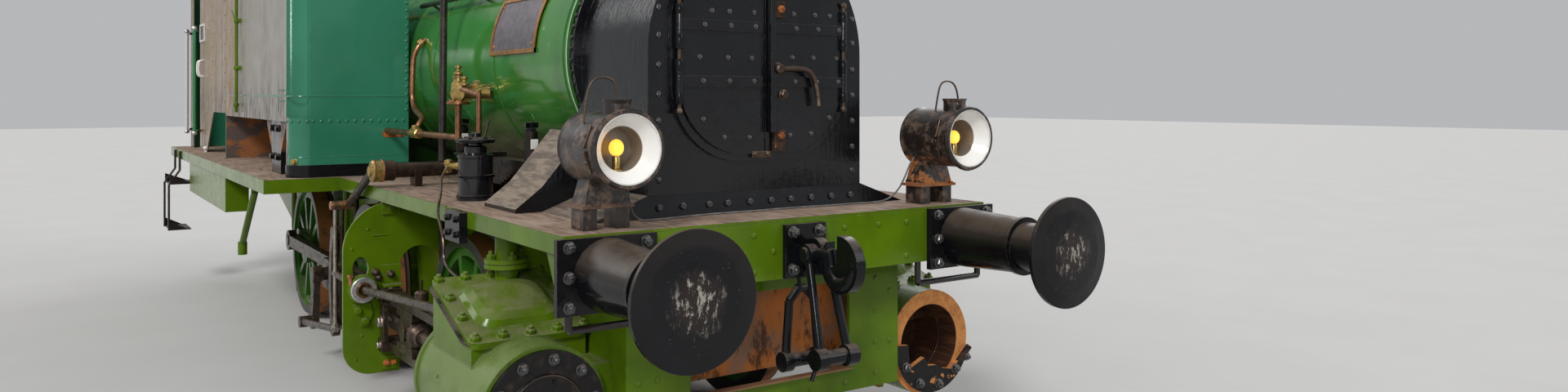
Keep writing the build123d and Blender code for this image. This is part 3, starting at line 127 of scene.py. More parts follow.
def looped(rings):
    """Solid whose rows of points go all the way round and meet again, as a hoop's do."""
    quads = grid_corners(*rings.shape[:2], closed_rows=True)
    return rings.reshape(-1, 3), quads.ravel(), np.full(len(quads), 4)


def circle(radius, sides):
    """Points of a circle, anticlockwise: the radius times the cosine and sine of each angle."""
    angle = np.arange(sides) * 2 * np.pi / sides
    return radius * np.column_stack((np.cos(angle), np.sin(angle)))


def turned(profile, sides=16, hollow=False):
    """Solid of revolution: point k of the profile is a ring of radius profile[k, 0] at height profile[k, 1]."""
    profile = np.asarray(profile, float)
    ring = circle(1.0, sides)
    rings = np.concatenate((profile[:, None, :1] * ring[None], np.broadcast_to(profile[:, None, 1:],
                           (len(profile), sides, 1))), -1)
    return looped(rings) if hollow else capped(rings)


def plate(outline, height, chamfer=0.0):
    """Flat plate over an anticlockwise outline, whose top edge is cut back at 45 degrees by the chamfer."""
    outline = np.asarray(outline, float)
    along = np.roll(outline, -1, 0) - outline
    along /= np.linalg.norm(along, axis=1, keepdims=True)
    inward = np.column_stack((-along[:, 1], along[:, 0]))
    before = np.roll(inward, 1, 0)
    corner = (inward + before) / (1 + (inward * before).sum(1, keepdims=True))
    levels = [(outline, 0.0), (outline, height - chamfer)]
    if chamfer:
        levels.append((outline + chamfer * corner, height))
    return capped(np.stack([np.column_stack((edge, np.full(len(edge), z))) for edge, z in levels]))


def oblong(wide, high, corner=0.0, steps=4):
    """Anticlockwise outline of a rectangle about its centre, with rounded corners."""
    if not corner:
        return np.array(((-wide, -high), (wide, -high), (wide, high), (-wide, high))) / 2
    angle = np.radians(np.linspace(0, 90, steps))
    arc = corner * np.column_stack((np.cos(angle), np.sin(angle)))
    inset = np.array((wide / 2 - corner, high / 2 - corner))
    quarter = inset + arc
    turn = np.array(((0, 1), (-1, 0)))
    second = (np.array((high / 2 - corner, wide / 2 - corner)) + arc) @ turn
    return np.concatenate((quarter, second, -quarter, -second))


def lengths_of(vectors):
    """Lengths of rows of vectors, kept as a column."""
    return np.linalg.norm(vectors, axis=-1, keepdims=True)


def carried(path, section, guide=(0, 0, 1), swell=None):
    """Section carried along a path: its x lies across path and guide, its y across both, times the swell."""
    path, section = np.asarray(path, float), np.asarray(section, float)
    ahead = np.gradient(path, axis=0)
    ahead = ahead / lengths_of(ahead)
    across = np.cross(np.asarray(guide, float), ahead)
    across = across / lengths_of(across)
    lift = np.cross(ahead, across)
    swell = np.ones(len(path)) if swell is None else np.asarray(swell, float)
    size = swell[:, None, None]
    rings = path[:, None] + size * (section[None, :, :1] * across[:, None] + section[None, :, 1:] * lift[:, None])
    return capped(rings)


def eased(points, steps=7):
    """Smooth path from the first point to the last: one parabola a corner, between the middles of its runs."""
    points = np.asarray(points, float)
    starts = (points[:-2] + points[1:-1]) / 2
    ends = (points[1:-1] + points[2:]) / 2
    starts[0], ends[-1] = points[0], points[-1]
    t = np.linspace(0, 1, steps, endpoint=False)[None, :, None]
    curve = (1 - t) ** 2 * starts[:, None] + 2 * t * (1 - t) * points[1:-1, None] + t ** 2 * ends[:, None]
    return np.vstack((curve.reshape(-1, 3), points[-1:]))


def placed(shape, origins, axes, spin=0.0):
    """Copies of a shape, one at each origin, with its z turned to the axis there and spun about it, in degrees."""
    points, corners, sizes = shape
    origins = np.atleast_2d(np.asarray(origins, float))
    count = len(origins)
    axes = np.broadcast_to(np.asarray(axes, float), (count, 3))
    axes = axes / lengths_of(axes)
    helper = np.where(np.abs(axes[:, 2:]) > 0.9, (1.0, 0.0, 0.0), (0.0, 0.0, 1.0))
    first = np.cross(helper, axes)
    first = first / lengths_of(first)
    second = np.cross(axes, first)
    angle = np.radians(np.broadcast_to(np.asarray(spin, float), (count,)))[:, None]
    across = np.cos(angle) * first + np.sin(angle) * second
    upward = np.cos(angle) * second - np.sin(angle) * first
    moved = (origins[:, None] + points[None, :, :1] * across[:, None] + points[None, :, 1:2] * upward[:, None]
             + points[None, :, 2:] * axes[:, None])
    shifts = len(points) * np.arange(count)[:, None]
    return moved.reshape(-1, 3), (corners[None] + shifts).ravel(), np.tile(sizes, count)


def joined(*shapes):
    """Several shapes as one."""
    shifts = np.cumsum([0] + [len(shape[0]) for shape in shapes[:-1]])
    return (np.vstack([shape[0] for shape in shapes]),
            np.concatenate([shape[1] + shift for shape, shift in zip(shapes, shifts)]),
            np.concatenate([shape[2] for shape in shapes]))


def bar(start, end, radius, sides=12):
    """Round bar from one frame point to another, its ends slightly broken."""
    start, end = np.asarray(start, float), np.asarray(end, float)
    long = float(np.linalg.norm(end - start))
    edge = min(0.15 * radius, 0.2 * long)
    profile = ((radius - edge, 0), (radius, edge), (radius, long - edge), (radius - edge, long))
    return placed(turned(profile, sides), start, end - start)


def brick(low, high, chamfer=0.002):
    """Block between two frame corners, with its upper edges broken."""
    low, high = np.minimum(low, high), np.maximum(low, high)
    wide, deep, tall = high - low
    points, corners, sizes = plate(oblong(wide, deep), tall, min(chamfer, wide / 4, deep / 4, tall / 3))
    return points + np.array((*(low + high)[:2] / 2, low[2])), corners, sizes


def make_piece(name, shape, finish, body="root", sharp_degrees=32):
    """Mesh object of a shape, in one finish, riding on a body."""
    points, corners, sizes = shape
    mesh = bpy.data.meshes.new(name)
    mesh.vertices.add(len(points))
    mesh.vertices.foreach_set("co", np.ascontiguousarray(points, np.float32).ravel())
    mesh.loops.add(len(corners))
    mesh.loops.foreach_set("vertex_index", corners.astype(np.int32))
    mesh.polygons.add(len(sizes))
    mesh.polygons.foreach_set("loop_start", (np.cumsum(sizes) - sizes).astype(np.int32))
    mesh.update(calc_edges=True)
    mesh.polygons.foreach_set("use_smooth", np.ones(len(sizes), bool))
    mesh.set_sharp_from_angle(angle=math.radians(sharp_degrees))
    material, slot = finishes[finish]
    mesh.materials.append(material)
    piece = in_scene(name, mesh)
    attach(piece, body)


def rivet(radius=0.011):
    """Round rivet head: a low dome on a short edge."""
    angle = np.radians((0, 28, 56, 80))
    dome = np.column_stack((radius * np.cos(angle), 0.62 * radius * np.sin(angle)))
    return turned(np.vstack(((radius, -0.1 * radius), dome)), 12)


def bolt(across=0.03, tall=0.018, washer=0.0, stud=0.0):
    """Hexagon head with a chamfered crown, over an optional washer and with an optional stud end."""
    flat = across / 2
    corner = flat / math.cos(math.radians(30))
    crown = turned(((corner, washer), (corner, washer + 0.8 * tall), (0.9 * flat, washer + tall)), 6)
    parts = [crown]
    if washer:
        parts.append(turned(((1.35 * flat, 0), (1.35 * flat, 0.8 * washer), (1.25 * flat, washer)), 20))
    if stud:
        parts.append(turned(((0.55 * flat, 0), (0.55 * flat, washer + tall + 0.8 * stud),
                             (0.42 * flat, washer + tall + stud)), 12))
    return joined(*parts)


class Finish:
    """A material under construction: layers of colour, roughness and metal, then bumps."""

    def __init__(self, name, colour, rough, metal=0.0, specular=0.5, coat=0.0):
        self.material = bpy.data.materials.new(name)
        self.material.use_nodes = True
        self.tree = self.material.node_tree
        self.shader = self.tree.nodes["Principled BSDF"]
        self.place = self.node("ShaderNodeTexCoord").outputs["Object"]
        self.geometry = self.node("ShaderNodeNewGeometry").outputs["Normal"]
        self.shader.inputs["Specular IOR Level"].default_value = specular
        self.shader.inputs["Coat Weight"].default_value = coat
        self.shader.inputs["Coat Roughness"].default_value = 0.08
        self.colour, self.rough, self.metal = colour, rough, metal

    def node(self, kind, **settings):
        """New node of a kind, with its plain settings."""
        made = self.tree.nodes.new(kind)
        for key, value in settings.items():
            setattr(made, key, value)
        return made

    def feed(self, socket, value):
        """Put a number, a colour or another node's result into a socket."""
        if isinstance(value, bpy.types.NodeSocket):
            self.tree.links.new(value, socket)
        elif isinstance(value, tuple) and socket.type == "RGBA":
            socket.default_value = (*value, 1)
        else:
            socket.default_value = value

    def stretched(self, x, y, z):
        """Object coordinates scaled on each axis, for streaks and grain."""
        made = self.node("ShaderNodeMapping")
        self.feed(made.inputs["Vector"], self.place)
        made.inputs["Scale"].default_value = (x, y, z)
        return made.outputs["Vector"]

    def noise(self, scale, detail=4, rough=0.55, place=None):
        """Fractal noise from 0 to 1, scale in waves a metre."""
        made = self.node("ShaderNodeTexNoise")
        self.feed(made.inputs["Vector"], place or self.place)
        made.inputs["Scale"].default_value = scale
        made.inputs["Detail"].default_value = detail
        made.inputs["Roughness"].default_value = rough
        return made.outputs["Fac"]

    def step(self, value, low, high, out_low=0.0, out_high=1.0):
        """Smooth step of a value between two limits."""
        made = self.node("ShaderNodeMapRange", interpolation_type="SMOOTHSTEP")
        self.feed(made.inputs["Value"], value)
        for socket, number in (("From Min", low), ("From Max", high), ("To Min", out_low), ("To Max", out_high)):
            made.inputs[socket].default_value = number
        return made.outputs["Result"]

    def patches(self, noise, low, high, out_low=0.0, out_high=1.0):
        """Smooth step of a noise, given by its own arguments, between two limits."""
        return self.step(self.noise(*noise), low, high, out_low, out_high)

    def maths(self, operation, a, b=0.0):
        """One arithmetic operation on two values."""
        made = self.node("ShaderNodeMath", operation=operation)
        self.feed(made.inputs[0], a)
        self.feed(made.inputs[1], b)
        return made.outputs["Value"]

    def all_of(self, *shares):
        """Product of several shares."""
        result = shares[0]
        for share in shares[1:]:
            result = self.maths("MULTIPLY", result, share)
        return result

    def part(self, vector, axis):
        """One component of a vector."""
        parts = self.node("ShaderNodeSeparateXYZ")
        self.feed(parts.inputs["Vector"], vector)
        return parts.outputs[axis]

    def facing(self, axis, low=0.5, high=0.9):
        """1 on faces that look along an axis, such as Z or -X."""
        value = self.part(self.geometry, axis[-1])
        if axis[0] == "-":
            value = self.maths("MULTIPLY", value, -1.0)
        return self.step(value, low, high)

    def beyond(self, axis, limit, soft=0.002):
        """1 where a coordinate is more than a limit."""
        return self.step(self.part(self.place, axis), limit - soft, limit + soft)

    def within(self, axis, low, high, soft=0.002):
        """1 where a coordinate is between two limits."""
        return self.all_of(self.beyond(axis, low, soft),
                           self.maths("SUBTRACT", 1.0, self.beyond(axis, high, soft)))

    def distance(self, centre, axis):
        """Distance from the line through a point along an axis."""
        made = self.node("ShaderNodeVectorMath", operation="SUBTRACT")
        self.feed(made.inputs[0], self.place)
        made.inputs[1].default_value = tuple(centre)
        scaled = self.node("ShaderNodeVectorMath", operation="MULTIPLY")
        self.feed(scaled.inputs[0], made.outputs["Vector"])
        scaled.inputs[1].default_value = tuple(0.0 if name == axis else 1.0 for name in "XYZ")
        length = self.node("ShaderNodeVectorMath", operation="LENGTH")
        self.feed(length.inputs[0], scaled.outputs["Vector"])
        return length.outputs["Value"]

    def near(self, centre, axis, radius, soft=0.002):
        """1 inside a round bar about a line."""
        return self.step(self.distance(centre, axis), radius + soft, radius - soft)

    def mix(self, share, a, b):
        """Colour a turning into colour b as the share goes from 0 to 1."""
        made = self.node("ShaderNodeMix", data_type="RGBA")
        self.feed(made.inputs["Factor"], share)
        self.feed(made.inputs[6], a)
        self.feed(made.inputs[7], b)
        return made.outputs[2]

    def mix_value(self, share, a, b):
        """Number a turning into number b as the share goes from 0 to 1."""
        made = self.node("ShaderNodeMix", data_type="FLOAT")
        self.feed(made.inputs["Factor"], share)
        self.feed(made.inputs[2], a)
        self.feed(made.inputs[3], b)
        return made.outputs[0]

    def layer(self, share, colour, rough=None, metal=None):
        """Lay a colour over what is there by a share, or by the product of several in a tuple."""
        if isinstance(share, tuple):
            share = self.all_of(*share)
        self.colour = self.mix(share, self.colour, colour)
        if rough is not None:
            self.rough = self.mix_value(share, self.rough, rough)
        if metal is not None:
            self.metal = self.mix_value(share, self.metal, metal)

    def edges(self, radius):
        """About 1 along sharp edges: how far the rounded normal leans from the true one."""
        rounded = self.node("ShaderNodeBevel", samples=4)
        rounded.inputs["Radius"].default_value = radius
        dot = self.node("ShaderNodeVectorMath", operation="DOT_PRODUCT")
        self.feed(dot.inputs[0], rounded.outputs["Normal"])
        self.feed(dot.inputs[1], self.geometry)
        return self.step(dot.outputs["Value"], 0.98, 0.8)

    def blotches(self, dark, scale=3.5, share=0.8):
        """Slow change of tone towards a darker colour."""
        self.layer(self.patches((scale, 5), 0.35, 0.7, 0.0, share), dark)

    def dust(self, colour=(0.30, 0.235, 0.18), share=0.8, scale=9, low=0.3, high=0.62, rough=0.85):
        """Dust lying on faces that look up, in patches."""
        upward = self.facing("Z", 0.35, 0.9)
        patches = self.patches((scale, 6, 0.65), low, high)
        fine = self.patches((70, 4, 0.6), 0.3, 0.7, 0.75, 1.0)
        self.layer((upward, patches, fine, share), colour, rough, 0.0)

    def chips(self, colour=(0.20, 0.15, 0.11), level=0.7, scale=22, edge_level=0.54, radius=0.004, rough=0.6):
        """Bare spots along worn edges and scattered on the faces."""
        worn = self.all_of(self.edges(radius), self.patches((35, 4), edge_level, edge_level + 0.1))
        spots = self.patches((scale, 6, 0.7), level, level + 0.02)
        self.layer(self.maths("MAXIMUM", worn, spots), colour, rough)

    def scuffs(self, colour, x, y, z, level=0.68, share=0.7):
        """Short scratches drawn out along one axis."""
        streaks = self.patches((1.0, 3, 0.6, self.stretched(x, y, z)), level, level + 0.03)
        self.layer((streaks, self.patches((4, 2), 0.45, 0.6), share), colour, 0.45)

    def patchy_gloss(self, low=0.75, high=1.5, scale=14):
        """Roughness that wanders between two shares of itself."""
        self.rough = self.maths("MULTIPLY", self.rough, self.patches((scale, 4), 0.3, 0.75, low, high))

    def lumps(self, distance, coarse=18, fine=150, rounding=0.0025, height=None):
        """Uneven surface over edges rounded by a small radius."""
        made = self.node("ShaderNodeBump")
        made.inputs["Distance"].default_value = distance
        wave = self.maths("ADD", self.noise(coarse, 3), self.maths("MULTIPLY", self.noise(fine, 2), 0.25))
        self.feed(made.inputs["Height"], wave if height is None else self.maths("ADD", wave, height))
        rounded = self.node("ShaderNodeBevel", samples=4)
        rounded.inputs["Radius"].default_value = rounding
        self.feed(made.inputs["Normal"], rounded.outputs["Normal"])
        self.feed(self.shader.inputs["Normal"], made.outputs["Normal"])

    def done(self):
        """The finished material."""
        self.feed(self.shader.inputs["Base Color"], self.colour)
        self.feed(self.shader.inputs["Roughness"], self.rough)
        self.feed(self.shader.inputs["Metallic"], self.metal)
        return self.material


FRAME_GREEN, FRAME_DARK = (0.092, 0.163, 0.004), (0.054, 0.105, 0.003)
BOILER_GREEN, BOILER_DARK = (0.042, 0.185, 0.028), (0.022, 0.11, 0.016)
TANK_GREEN, TANK_DARK = (0.034, 0.210, 0.122), (0.022, 0.155, 0.086)
BLACK, SOOT = (0.0055, 0.006, 0.0075), (0.0025, 0.0025, 0.003)
RUST, DARK_RUST = (0.42, 0.135, 0.03), (0.10, 0.035, 0.015)
DECK_DUST, DECK_DARK = (0.33, 0.235, 0.175), (0.14, 0.09, 0.065)
OILY_BROWN, BARE_STEEL = (0.085, 0.055, 0.038), (0.34, 0.27, 0.21)
BORE_Y, AXLE_UP = 0.980, 0.500


def green_paint(name, colour=FRAME_GREEN, dark=FRAME_DARK, rough=0.15, dusty=0.6):
    """Brushed green gloss paint with dust on top and small chips."""
    paint = Finish(name, colour, rough, specular=0.20)
    paint.blotches(dark)
    paint.dust(share=dusty)
    paint.chips((0.26, 0.24, 0.16), level=0.72)
    paint.patchy_gloss()
    return paint


def black_paint(name, rough=0.11):
    """Thick brushed black gloss."""
    paint = Finish(name, BLACK, rough, specular=0.24)
    paint.blotches(SOOT, 5)
    paint.dust((0.16, 0.125, 0.10), 0.75, low=0.35)
    paint.chips((0.07, 0.055, 0.045), 0.74, edge_level=0.5)
    paint.patchy_gloss(0.7, 1.8)
    return paint


def oily_metal(name, colour=OILY_BROWN, bright=BARE_STEEL, rough=0.32, rubbed=0.5):
    """Oiled steel: dark brown film, rubbed bright along its edges and in patches."""
    metal = Finish(name, colour, rough, 0.75)
    metal.blotches((0.035, 0.022, 0.016), 12)
    rub = metal.maths("MAXIMUM", metal.edges(0.006), metal.patches((9, 5, 0.65), 0.56, 0.68))
    metal.layer((rub, rubbed), bright, 0.25, 1.0)
    metal.dust((0.20, 0.14, 0.10), 0.35)
    metal.patchy_gloss(0.7, 1.6, 30)
    return metal


def rusted(name, colour=RUST, dark=DARK_RUST):
    """Raw rusted casting."""
    metal = Finish(name, colour, 0.85, 0.1, specular=0.3)
    metal.layer(metal.patches((25, 6, 0.7), 0.42, 0.62), dark)
    metal.layer(metal.patches((60, 4), 0.6, 0.75, 0.0, 0.5), (0.55, 0.25, 0.08))
    return metal


def rust_streaks(paint, where):
    """Old plate inside the frames: rusty orange, with black streaks that run down."""
    paint.layer(where, RUST, 0.7)
    streaks = paint.patches((1.0, 6, 0.7, paint.stretched(8, 13, 6)), 0.50, 0.62)
    paint.layer((where, paint.patches((5, 5), 0.42, 0.62, 0.0, 0.8)), (0.20, 0.135, 0.10), 0.8)
    paint.layer((where, streaks, 0.85), (0.035, 0.018, 0.012), 0.5)


def make_frames_paint():
    """Green outside, rust between the frame plates."""
    paint = green_paint("frames_paint")
    rust_streaks(paint, paint.within("Y", -0.5965, 0.5965, 0.0004))
    paint.lumps(0.0006)
    return paint.done()


def make_front_plate_paint():
    """Green, with a dusty brown ledge and rusty edges in the opening."""
    paint = green_paint("front_plate_paint")
    inside = paint.all_of(paint.within("Y", -0.4046, 0.4046, 0.0004), paint.within("Z", 0.51, 0.8975, 0.0004))
    paint.layer(inside, (0.22, 0.11, 0.06), 0.75)
    paint.lumps(0.0006)
    return paint.done()


def make_deck_paint():
    """Dusty brown tread plate on top; green edges, valances and lockers."""
    paint = Finish("deck_paint", FRAME_GREEN, 0.16, specular=0.20)
    paint.blotches(FRAME_DARK)
    upward = paint.facing("Z", 0.4, 0.7)
    paint.layer(upward, DECK_DUST, 0.8)
    grain = paint.noise(1.0, 6, 0.7, paint.stretched(5, 38, 5))
    paint.layer((upward, paint.step(grain, 0.42, 0.62), 0.75), DECK_DARK, 0.6)
    paint.layer((upward, paint.patches((2.2, 5), 0.5, 0.66), 0.6), (0.42, 0.33, 0.27), 0.85)
    paint.layer((paint.edges(0.006), paint.patches((30, 4), 0.42, 0.5)), (0.05, 0.03, 0.02), 0.5)
    paint.patchy_gloss()
    paint.lumps(0.0010, 24, 110)
    return paint.done()


def make_boiler_paint():
    """Mid-green gloss with white scuffs round the barrel and a grey underside."""
    paint = Finish("boiler_paint", BOILER_GREEN, 0.12, specular=0.35, coat=0.1)
    paint.blotches(BOILER_DARK, 2.2)
    paint.layer((paint.facing("-Z", 0.55, 0.95), 0.6), (0.055, 0.05, 0.042), 0.5)
    paint.scuffs((0.55, 0.62, 0.52), 30, 7, 7, 0.70)
    paint.scuffs((0.02, 0.07, 0.015), 4, 22, 22, 0.68, 0.8)
    paint.dust((0.22, 0.20, 0.13), 0.35)
    paint.patchy_gloss(0.6, 1.7, 6)
    paint.lumps(0.0005, 10, 120)
    return paint.done()


def make_tank_paint(name, open_below=True):
    """Blue-green front and top; the sides old grey and yellow-brown with streaks that run down."""
    paint = Finish(name, TANK_GREEN, 0.12, specular=0.40, coat=0.15)
    paint.blotches(TANK_DARK, 1.6)
    paint.scuffs((0.40, 0.52, 0.42), 5, 5, 24, 0.70, 0.5)
    side = paint.maths("MAXIMUM", paint.facing("Y", 0.93, 0.99), paint.facing("-Y", 0.93, 0.99))
    side = paint.all_of(side, paint.beyond("Z", 0.2))
    outer = paint.maths("ABSOLUTE", paint.part(paint.place, "Y"))
    side = paint.all_of(side, paint.step(outer, 1.25, 1.26))
    weathered_side(paint, side)
    if open_below:
        behind = paint.all_of(paint.within("Z", 1.15, 1.562),
                              paint.within("X", HALF_LENGTH - 7.75, HALF_LENGTH - 4.006),
                              paint.step(outer, 1.2985, 1.2965))
        paint.layer(behind, (0.105, 0.075, 0.062), 0.6)
        rusty = paint.patches((1.0, 5, 0.6, paint.stretched(1.6, 5, 9)), 0.5, 0.6)
        paint.layer((behind, rusty), (0.30, 0.11, 0.035), 0.75)
        bracket = paint.all_of(paint.within("X", HALF_LENGTH - 4.705, HALF_LENGTH - 4.395),
                               paint.step(outer, 1.236, 1.239), paint.within("Z", 1.15, 1.5572, 0.0005))
        paint.layer(bracket, BLACK, 0.2)
    paint.dust((0.20, 0.19, 0.14), 0.6)
    paint.chips((0.30, 0.22, 0.12), 0.74)
    paint.patchy_gloss(0.6, 1.7, 7)
    paint.lumps(0.0005, 9, 120)
    return paint.done()


def weathered_side(paint, where):
    """Grey sheet, brown drips from its lower edge up, yellow-brown towards the cab."""
    paint.layer(where, (0.25, 0.225, 0.185), 0.32)
    streaks = paint.noise(1.0, 3, 0.45, paint.stretched(3.6, 3.6, 0.45))
    paint.layer((where, paint.step(streaks, 0.45, 0.75, 0.0, 0.6)), (0.14, 0.105, 0.07), 0.35)
    back_share = paint.step(paint.part(paint.place, "X"), HALF_LENGTH - 5.7, HALF_LENGTH - 6.3)
    paint.layer((where, back_share, 0.9), (0.235, 0.135, 0.045), 0.35)
    paint.layer((where, back_share, paint.step(streaks, 0.42, 0.72, 0.0, 0.75)), (0.11, 0.06, 0.022), 0.4)
    drips = paint.noise(1.0, 4, 0.6, paint.stretched(42, 42, 4))
    low_down = paint.step(paint.part(paint.place, "Z"), 1.95, 1.62)
    paint.layer((where, low_down, paint.step(drips, 0.5, 0.58)), (0.035, 0.022, 0.014), 0.45)
    pale = paint.noise(1.0, 3, 0.5, paint.stretched(7, 7, 0.7))
    paint.layer((where, paint.step(pale, 0.5, 0.75, 0.0, 0.55)), (0.40, 0.385, 0.35), 0.35)


def make_side_paint():
    """Cab side sheets: weathered outside, dull green inside."""
    paint = Finish("side_sheet_paint", (0.16, 0.20, 0.12), 0.4, coat=0.2)
    paint.blotches((0.10, 0.13, 0.07), 2)
    outer = paint.step(paint.maths("ABSOLUTE", paint.part(paint.place, "Y")), 1.296, 1.2985)
    weathered_side(paint, outer)
    paint.chips((0.16, 0.10, 0.06), 0.73)
    paint.patchy_gloss()
    paint.lumps(0.0006, 10, 120)
    return paint.done()


def make_smokebox_paint():
    """Thick black gloss, brushed down; the sloped casings dusty grey-brown on top."""
    paint = black_paint("smokebox_paint", 0.10)
    paint.shader.inputs["Specular IOR Level"].default_value = 0.4
    slope = paint.all_of(paint.within("Z", 1.21, 1.585, 0.004), paint.facing("Z", 0.3, 0.6))
    fleck = paint.patches((1.0, 6, 0.7, paint.stretched(7, 34, 34)), 0.40, 0.62)
    paint.layer(slope, (0.235, 0.185, 0.14), 0.8)
    paint.layer((slope, fleck, 0.85), (0.075, 0.055, 0.042), 0.7)
    brushed = paint.noise(1.0, 5, 0.6, paint.stretched(60, 60, 7))
    paint.lumps(0.0016, 16, 120, height=brushed)
    return paint.done()


def make_buffer_paint():
    """Black gloss; the heads' faces rubbed grey-brown at their middles, the housings dusty on top."""
    paint = black_paint("buffer_paint", 0.10)
    rub = None
    for y in (BUFFER_Y, -BUFFER_Y):
        centre = (0.0, y, BUFFER_UP + FLANGE)
        reach = paint.maths("ADD", paint.distance(centre, "X"), paint.maths("MULTIPLY", paint.noise(14, 4), 0.12))
        patch = paint.step(reach, 0.175, 0.105)
        rub = patch if rub is None else paint.maths("MAXIMUM", rub, patch)
    ends = paint.step(paint.maths("ABSOLUTE", paint.part(paint.place, "X")), HALF_LENGTH - 0.012, HALF_LENGTH - 0.006)
    rub = paint.all_of(rub, ends)
    paint.layer((rub, 0.35), (0.045, 0.03, 0.022), 0.3)
    bare = paint.patches((1.0, 6, 0.75, paint.stretched(30, 40, 19)), 0.53, 0.58)
    paint.layer((rub, bare, 0.8), (0.34, 0.31, 0.27), 0.5)
    grit = paint.patches((95, 3, 0.6), 0.68, 0.71)
    paint.layer((ends, grit, 0.45), (0.22, 0.19, 0.16), 0.5)
    sleeve = paint.maths("SUBTRACT", 1.0, ends)
    paint.layer((sleeve, paint.facing("Z", -0.1, 0.8), 0.7), (0.075, 0.055, 0.04), 0.45)
    paint.lumps(0.0009, 16, 130)
    return paint.done()


def make_cylinder_paint(name, side):
    """Green casting with pale dusty lagging; the right cover black, the left joint face rusted where it broke."""
    paint = green_paint(name, dusty=0.42)
    centre = at(0, side * BORE_Y, AXLE_UP)
    joint_x = HALF_LENGTH - 0.950
    lagging = paint.all_of(paint.near(centre, "X", 0.256), paint.within("X", HALF_LENGTH - 1.70, joint_x - 0.001))
    paint.layer((lagging, 0.9), (0.135, 0.190, 0.055), 0.26)
    smudge = paint.patches((5, 5, 0.6), 0.45, 0.65)
    paint.layer((lagging, smudge, 0.8), (0.085, 0.135, 0.028), 0.3)
    front = paint.all_of(paint.beyond("X", joint_x - 0.0008, 0.0004), paint.near(centre, "X", 0.30))
    if side == RIGHT:
        paint.layer((front, paint.near(centre, "X", 0.2355, 0.0005)), (0.009, 0.008, 0.008), 0.2)
        paint.layer((front, paint.patches((20, 5), 0.5, 0.7), 0.6), (0.045, 0.03, 0.022), 0.35)
    else:
        rust = paint.patches((22, 6, 0.7), 0.42, 0.62)
        paint.layer(front, (0.62, 0.27, 0.085), 0.8, 0.05)
        paint.layer((front, rust, 0.75), (0.40, 0.15, 0.05), 0.85)
        paint.layer((front, paint.patches((48, 4), 0.62, 0.68), 0.7), (0.10, 0.045, 0.025), 0.85)
        bore = paint.all_of(paint.near(centre, "X", 0.1815, 0.0005),
                            paint.within("X", HALF_LENGTH - 1.30, joint_x + 0.0005, 0.0004))
        paint.layer(bore, (0.075, 0.035, 0.022), 0.4, 0.3)
        paint.layer((bore, paint.patches((1.0, 4, 0.6, paint.stretched(4, 40, 40)), 0.5, 0.66)),
                    (0.16, 0.07, 0.035), 0.5)
        remnant = paint.all_of(paint.beyond("X", joint_x + 0.0275, 0.0004), paint.near(centre, "X", 0.30))
        paint.layer(remnant, (0.010, 0.010, 0.010), 0.25)
        broken = paint.all_of(remnant, paint.patches((18, 5), 0.60, 0.63), 0.85)
        paint.layer(broken, (0.50, 0.21, 0.07), 0.8)
    paint.lumps(0.0007)
    return paint.done()


def make_wheel_paint(name, back):
    """Green wheel with a dark tyre face, a rusty orange tread and a brown axle."""
    paint = green_paint(name, (0.035, 0.13, 0.012), (0.018, 0.07, 0.008), 0.2)
    centre = at(back, 0, AXLE_UP)
    tyre = paint.maths("SUBTRACT", 1.0, paint.near(centre, "Y", 0.4415, 0.0008))
    across = paint.maths("ABSOLUTE", paint.part(paint.geometry, "Y"))
    paint.layer(tyre, (0.014, 0.013, 0.012), 0.3, 0.2)
    tread = paint.all_of(tyre, paint.step(across, 0.7, 0.4))
    paint.layer(tread, (0.30, 0.12, 0.04), 0.6, 0.3)
    paint.layer((tread, paint.patches((12, 5), 0.5, 0.66)), (0.12, 0.06, 0.03), 0.6)
    shaft = paint.all_of(paint.near(centre, "Y", 0.0762), paint.within("Y", -0.685, 0.685))
    paint.layer(shaft, (0.06, 0.04, 0.03), 0.4, 0.5)
    crank = paint.step(paint.maths("ABSOLUTE", paint.part(paint.place, "Y")), 0.826, 0.829)
    paint.layer(crank, (0.10, 0.07, 0.05), 0.3, 0.7)
    paint.lumps(0.0010, 14, 130)
    return paint.done()


def make_lamp_paint():
    """Worn black over brown metal; white enamel inside the reflector, rust round the stands' lips."""
    paint = Finish("lamp_paint", (0.018, 0.013, 0.011), 0.3, 0.1, coat=0.1)
    paint.layer(paint.patches((16, 6, 0.7), 0.47, 0.60), (0.11, 0.07, 0.048), 0.5)
    paint.layer(paint.patches((30, 6, 0.7), 0.62, 0.68, 0.0, 0.8), (0.28, 0.20, 0.15), 0.55)
    front_x = HALF_LENGTH - 0.533
    for y in (LAMP_Y, -LAMP_Y):
        centre = (0.0, y, LAMP_UP + FLANGE)
        enamel = paint.all_of(paint.near(centre, "X", 0.1262, 0.0008), paint.facing("X", 0.05, 0.12),
                              paint.beyond("X", front_x - 0.152))
        paint.layer(enamel, (0.80, 0.79, 0.76), 0.25, 0.0)
        cone = paint.all_of(paint.near(centre, "X", 0.0815, 0.0008), paint.within("X", front_x - 0.16, front_x - 0.055))
        paint.layer(cone, (0.26, 0.235, 0.21), 0.35, 0.5)
    lip = paint.all_of(paint.within("Z", 1.30, 1.318), paint.maths("SUBTRACT", 1.0, paint.beyond("X", front_x - 0.16)))
    rusty = paint.patches((9, 4), 0.35, 0.5)
    paint.layer((lip, paint.beyond("Y", 0.0)), (0.45, 0.15, 0.04), 0.75)
    paint.layer((lip, rusty, 0.7), (0.16, 0.08, 0.045), 0.6)
    box = paint.all_of(paint.within("Z", 1.312, 1.44), paint.beyond("Y", 0.0),
                       paint.maths("SUBTRACT", 1.0, paint.beyond("X", front_x - 0.16)))
    paint.layer((box, paint.patches((14, 5, 0.7), 0.5, 0.56)), (0.36, 0.13, 0.04), 0.75)
    paint.patchy_gloss()
    paint.lumps(0.0007, 22, 160)
    return paint.done()


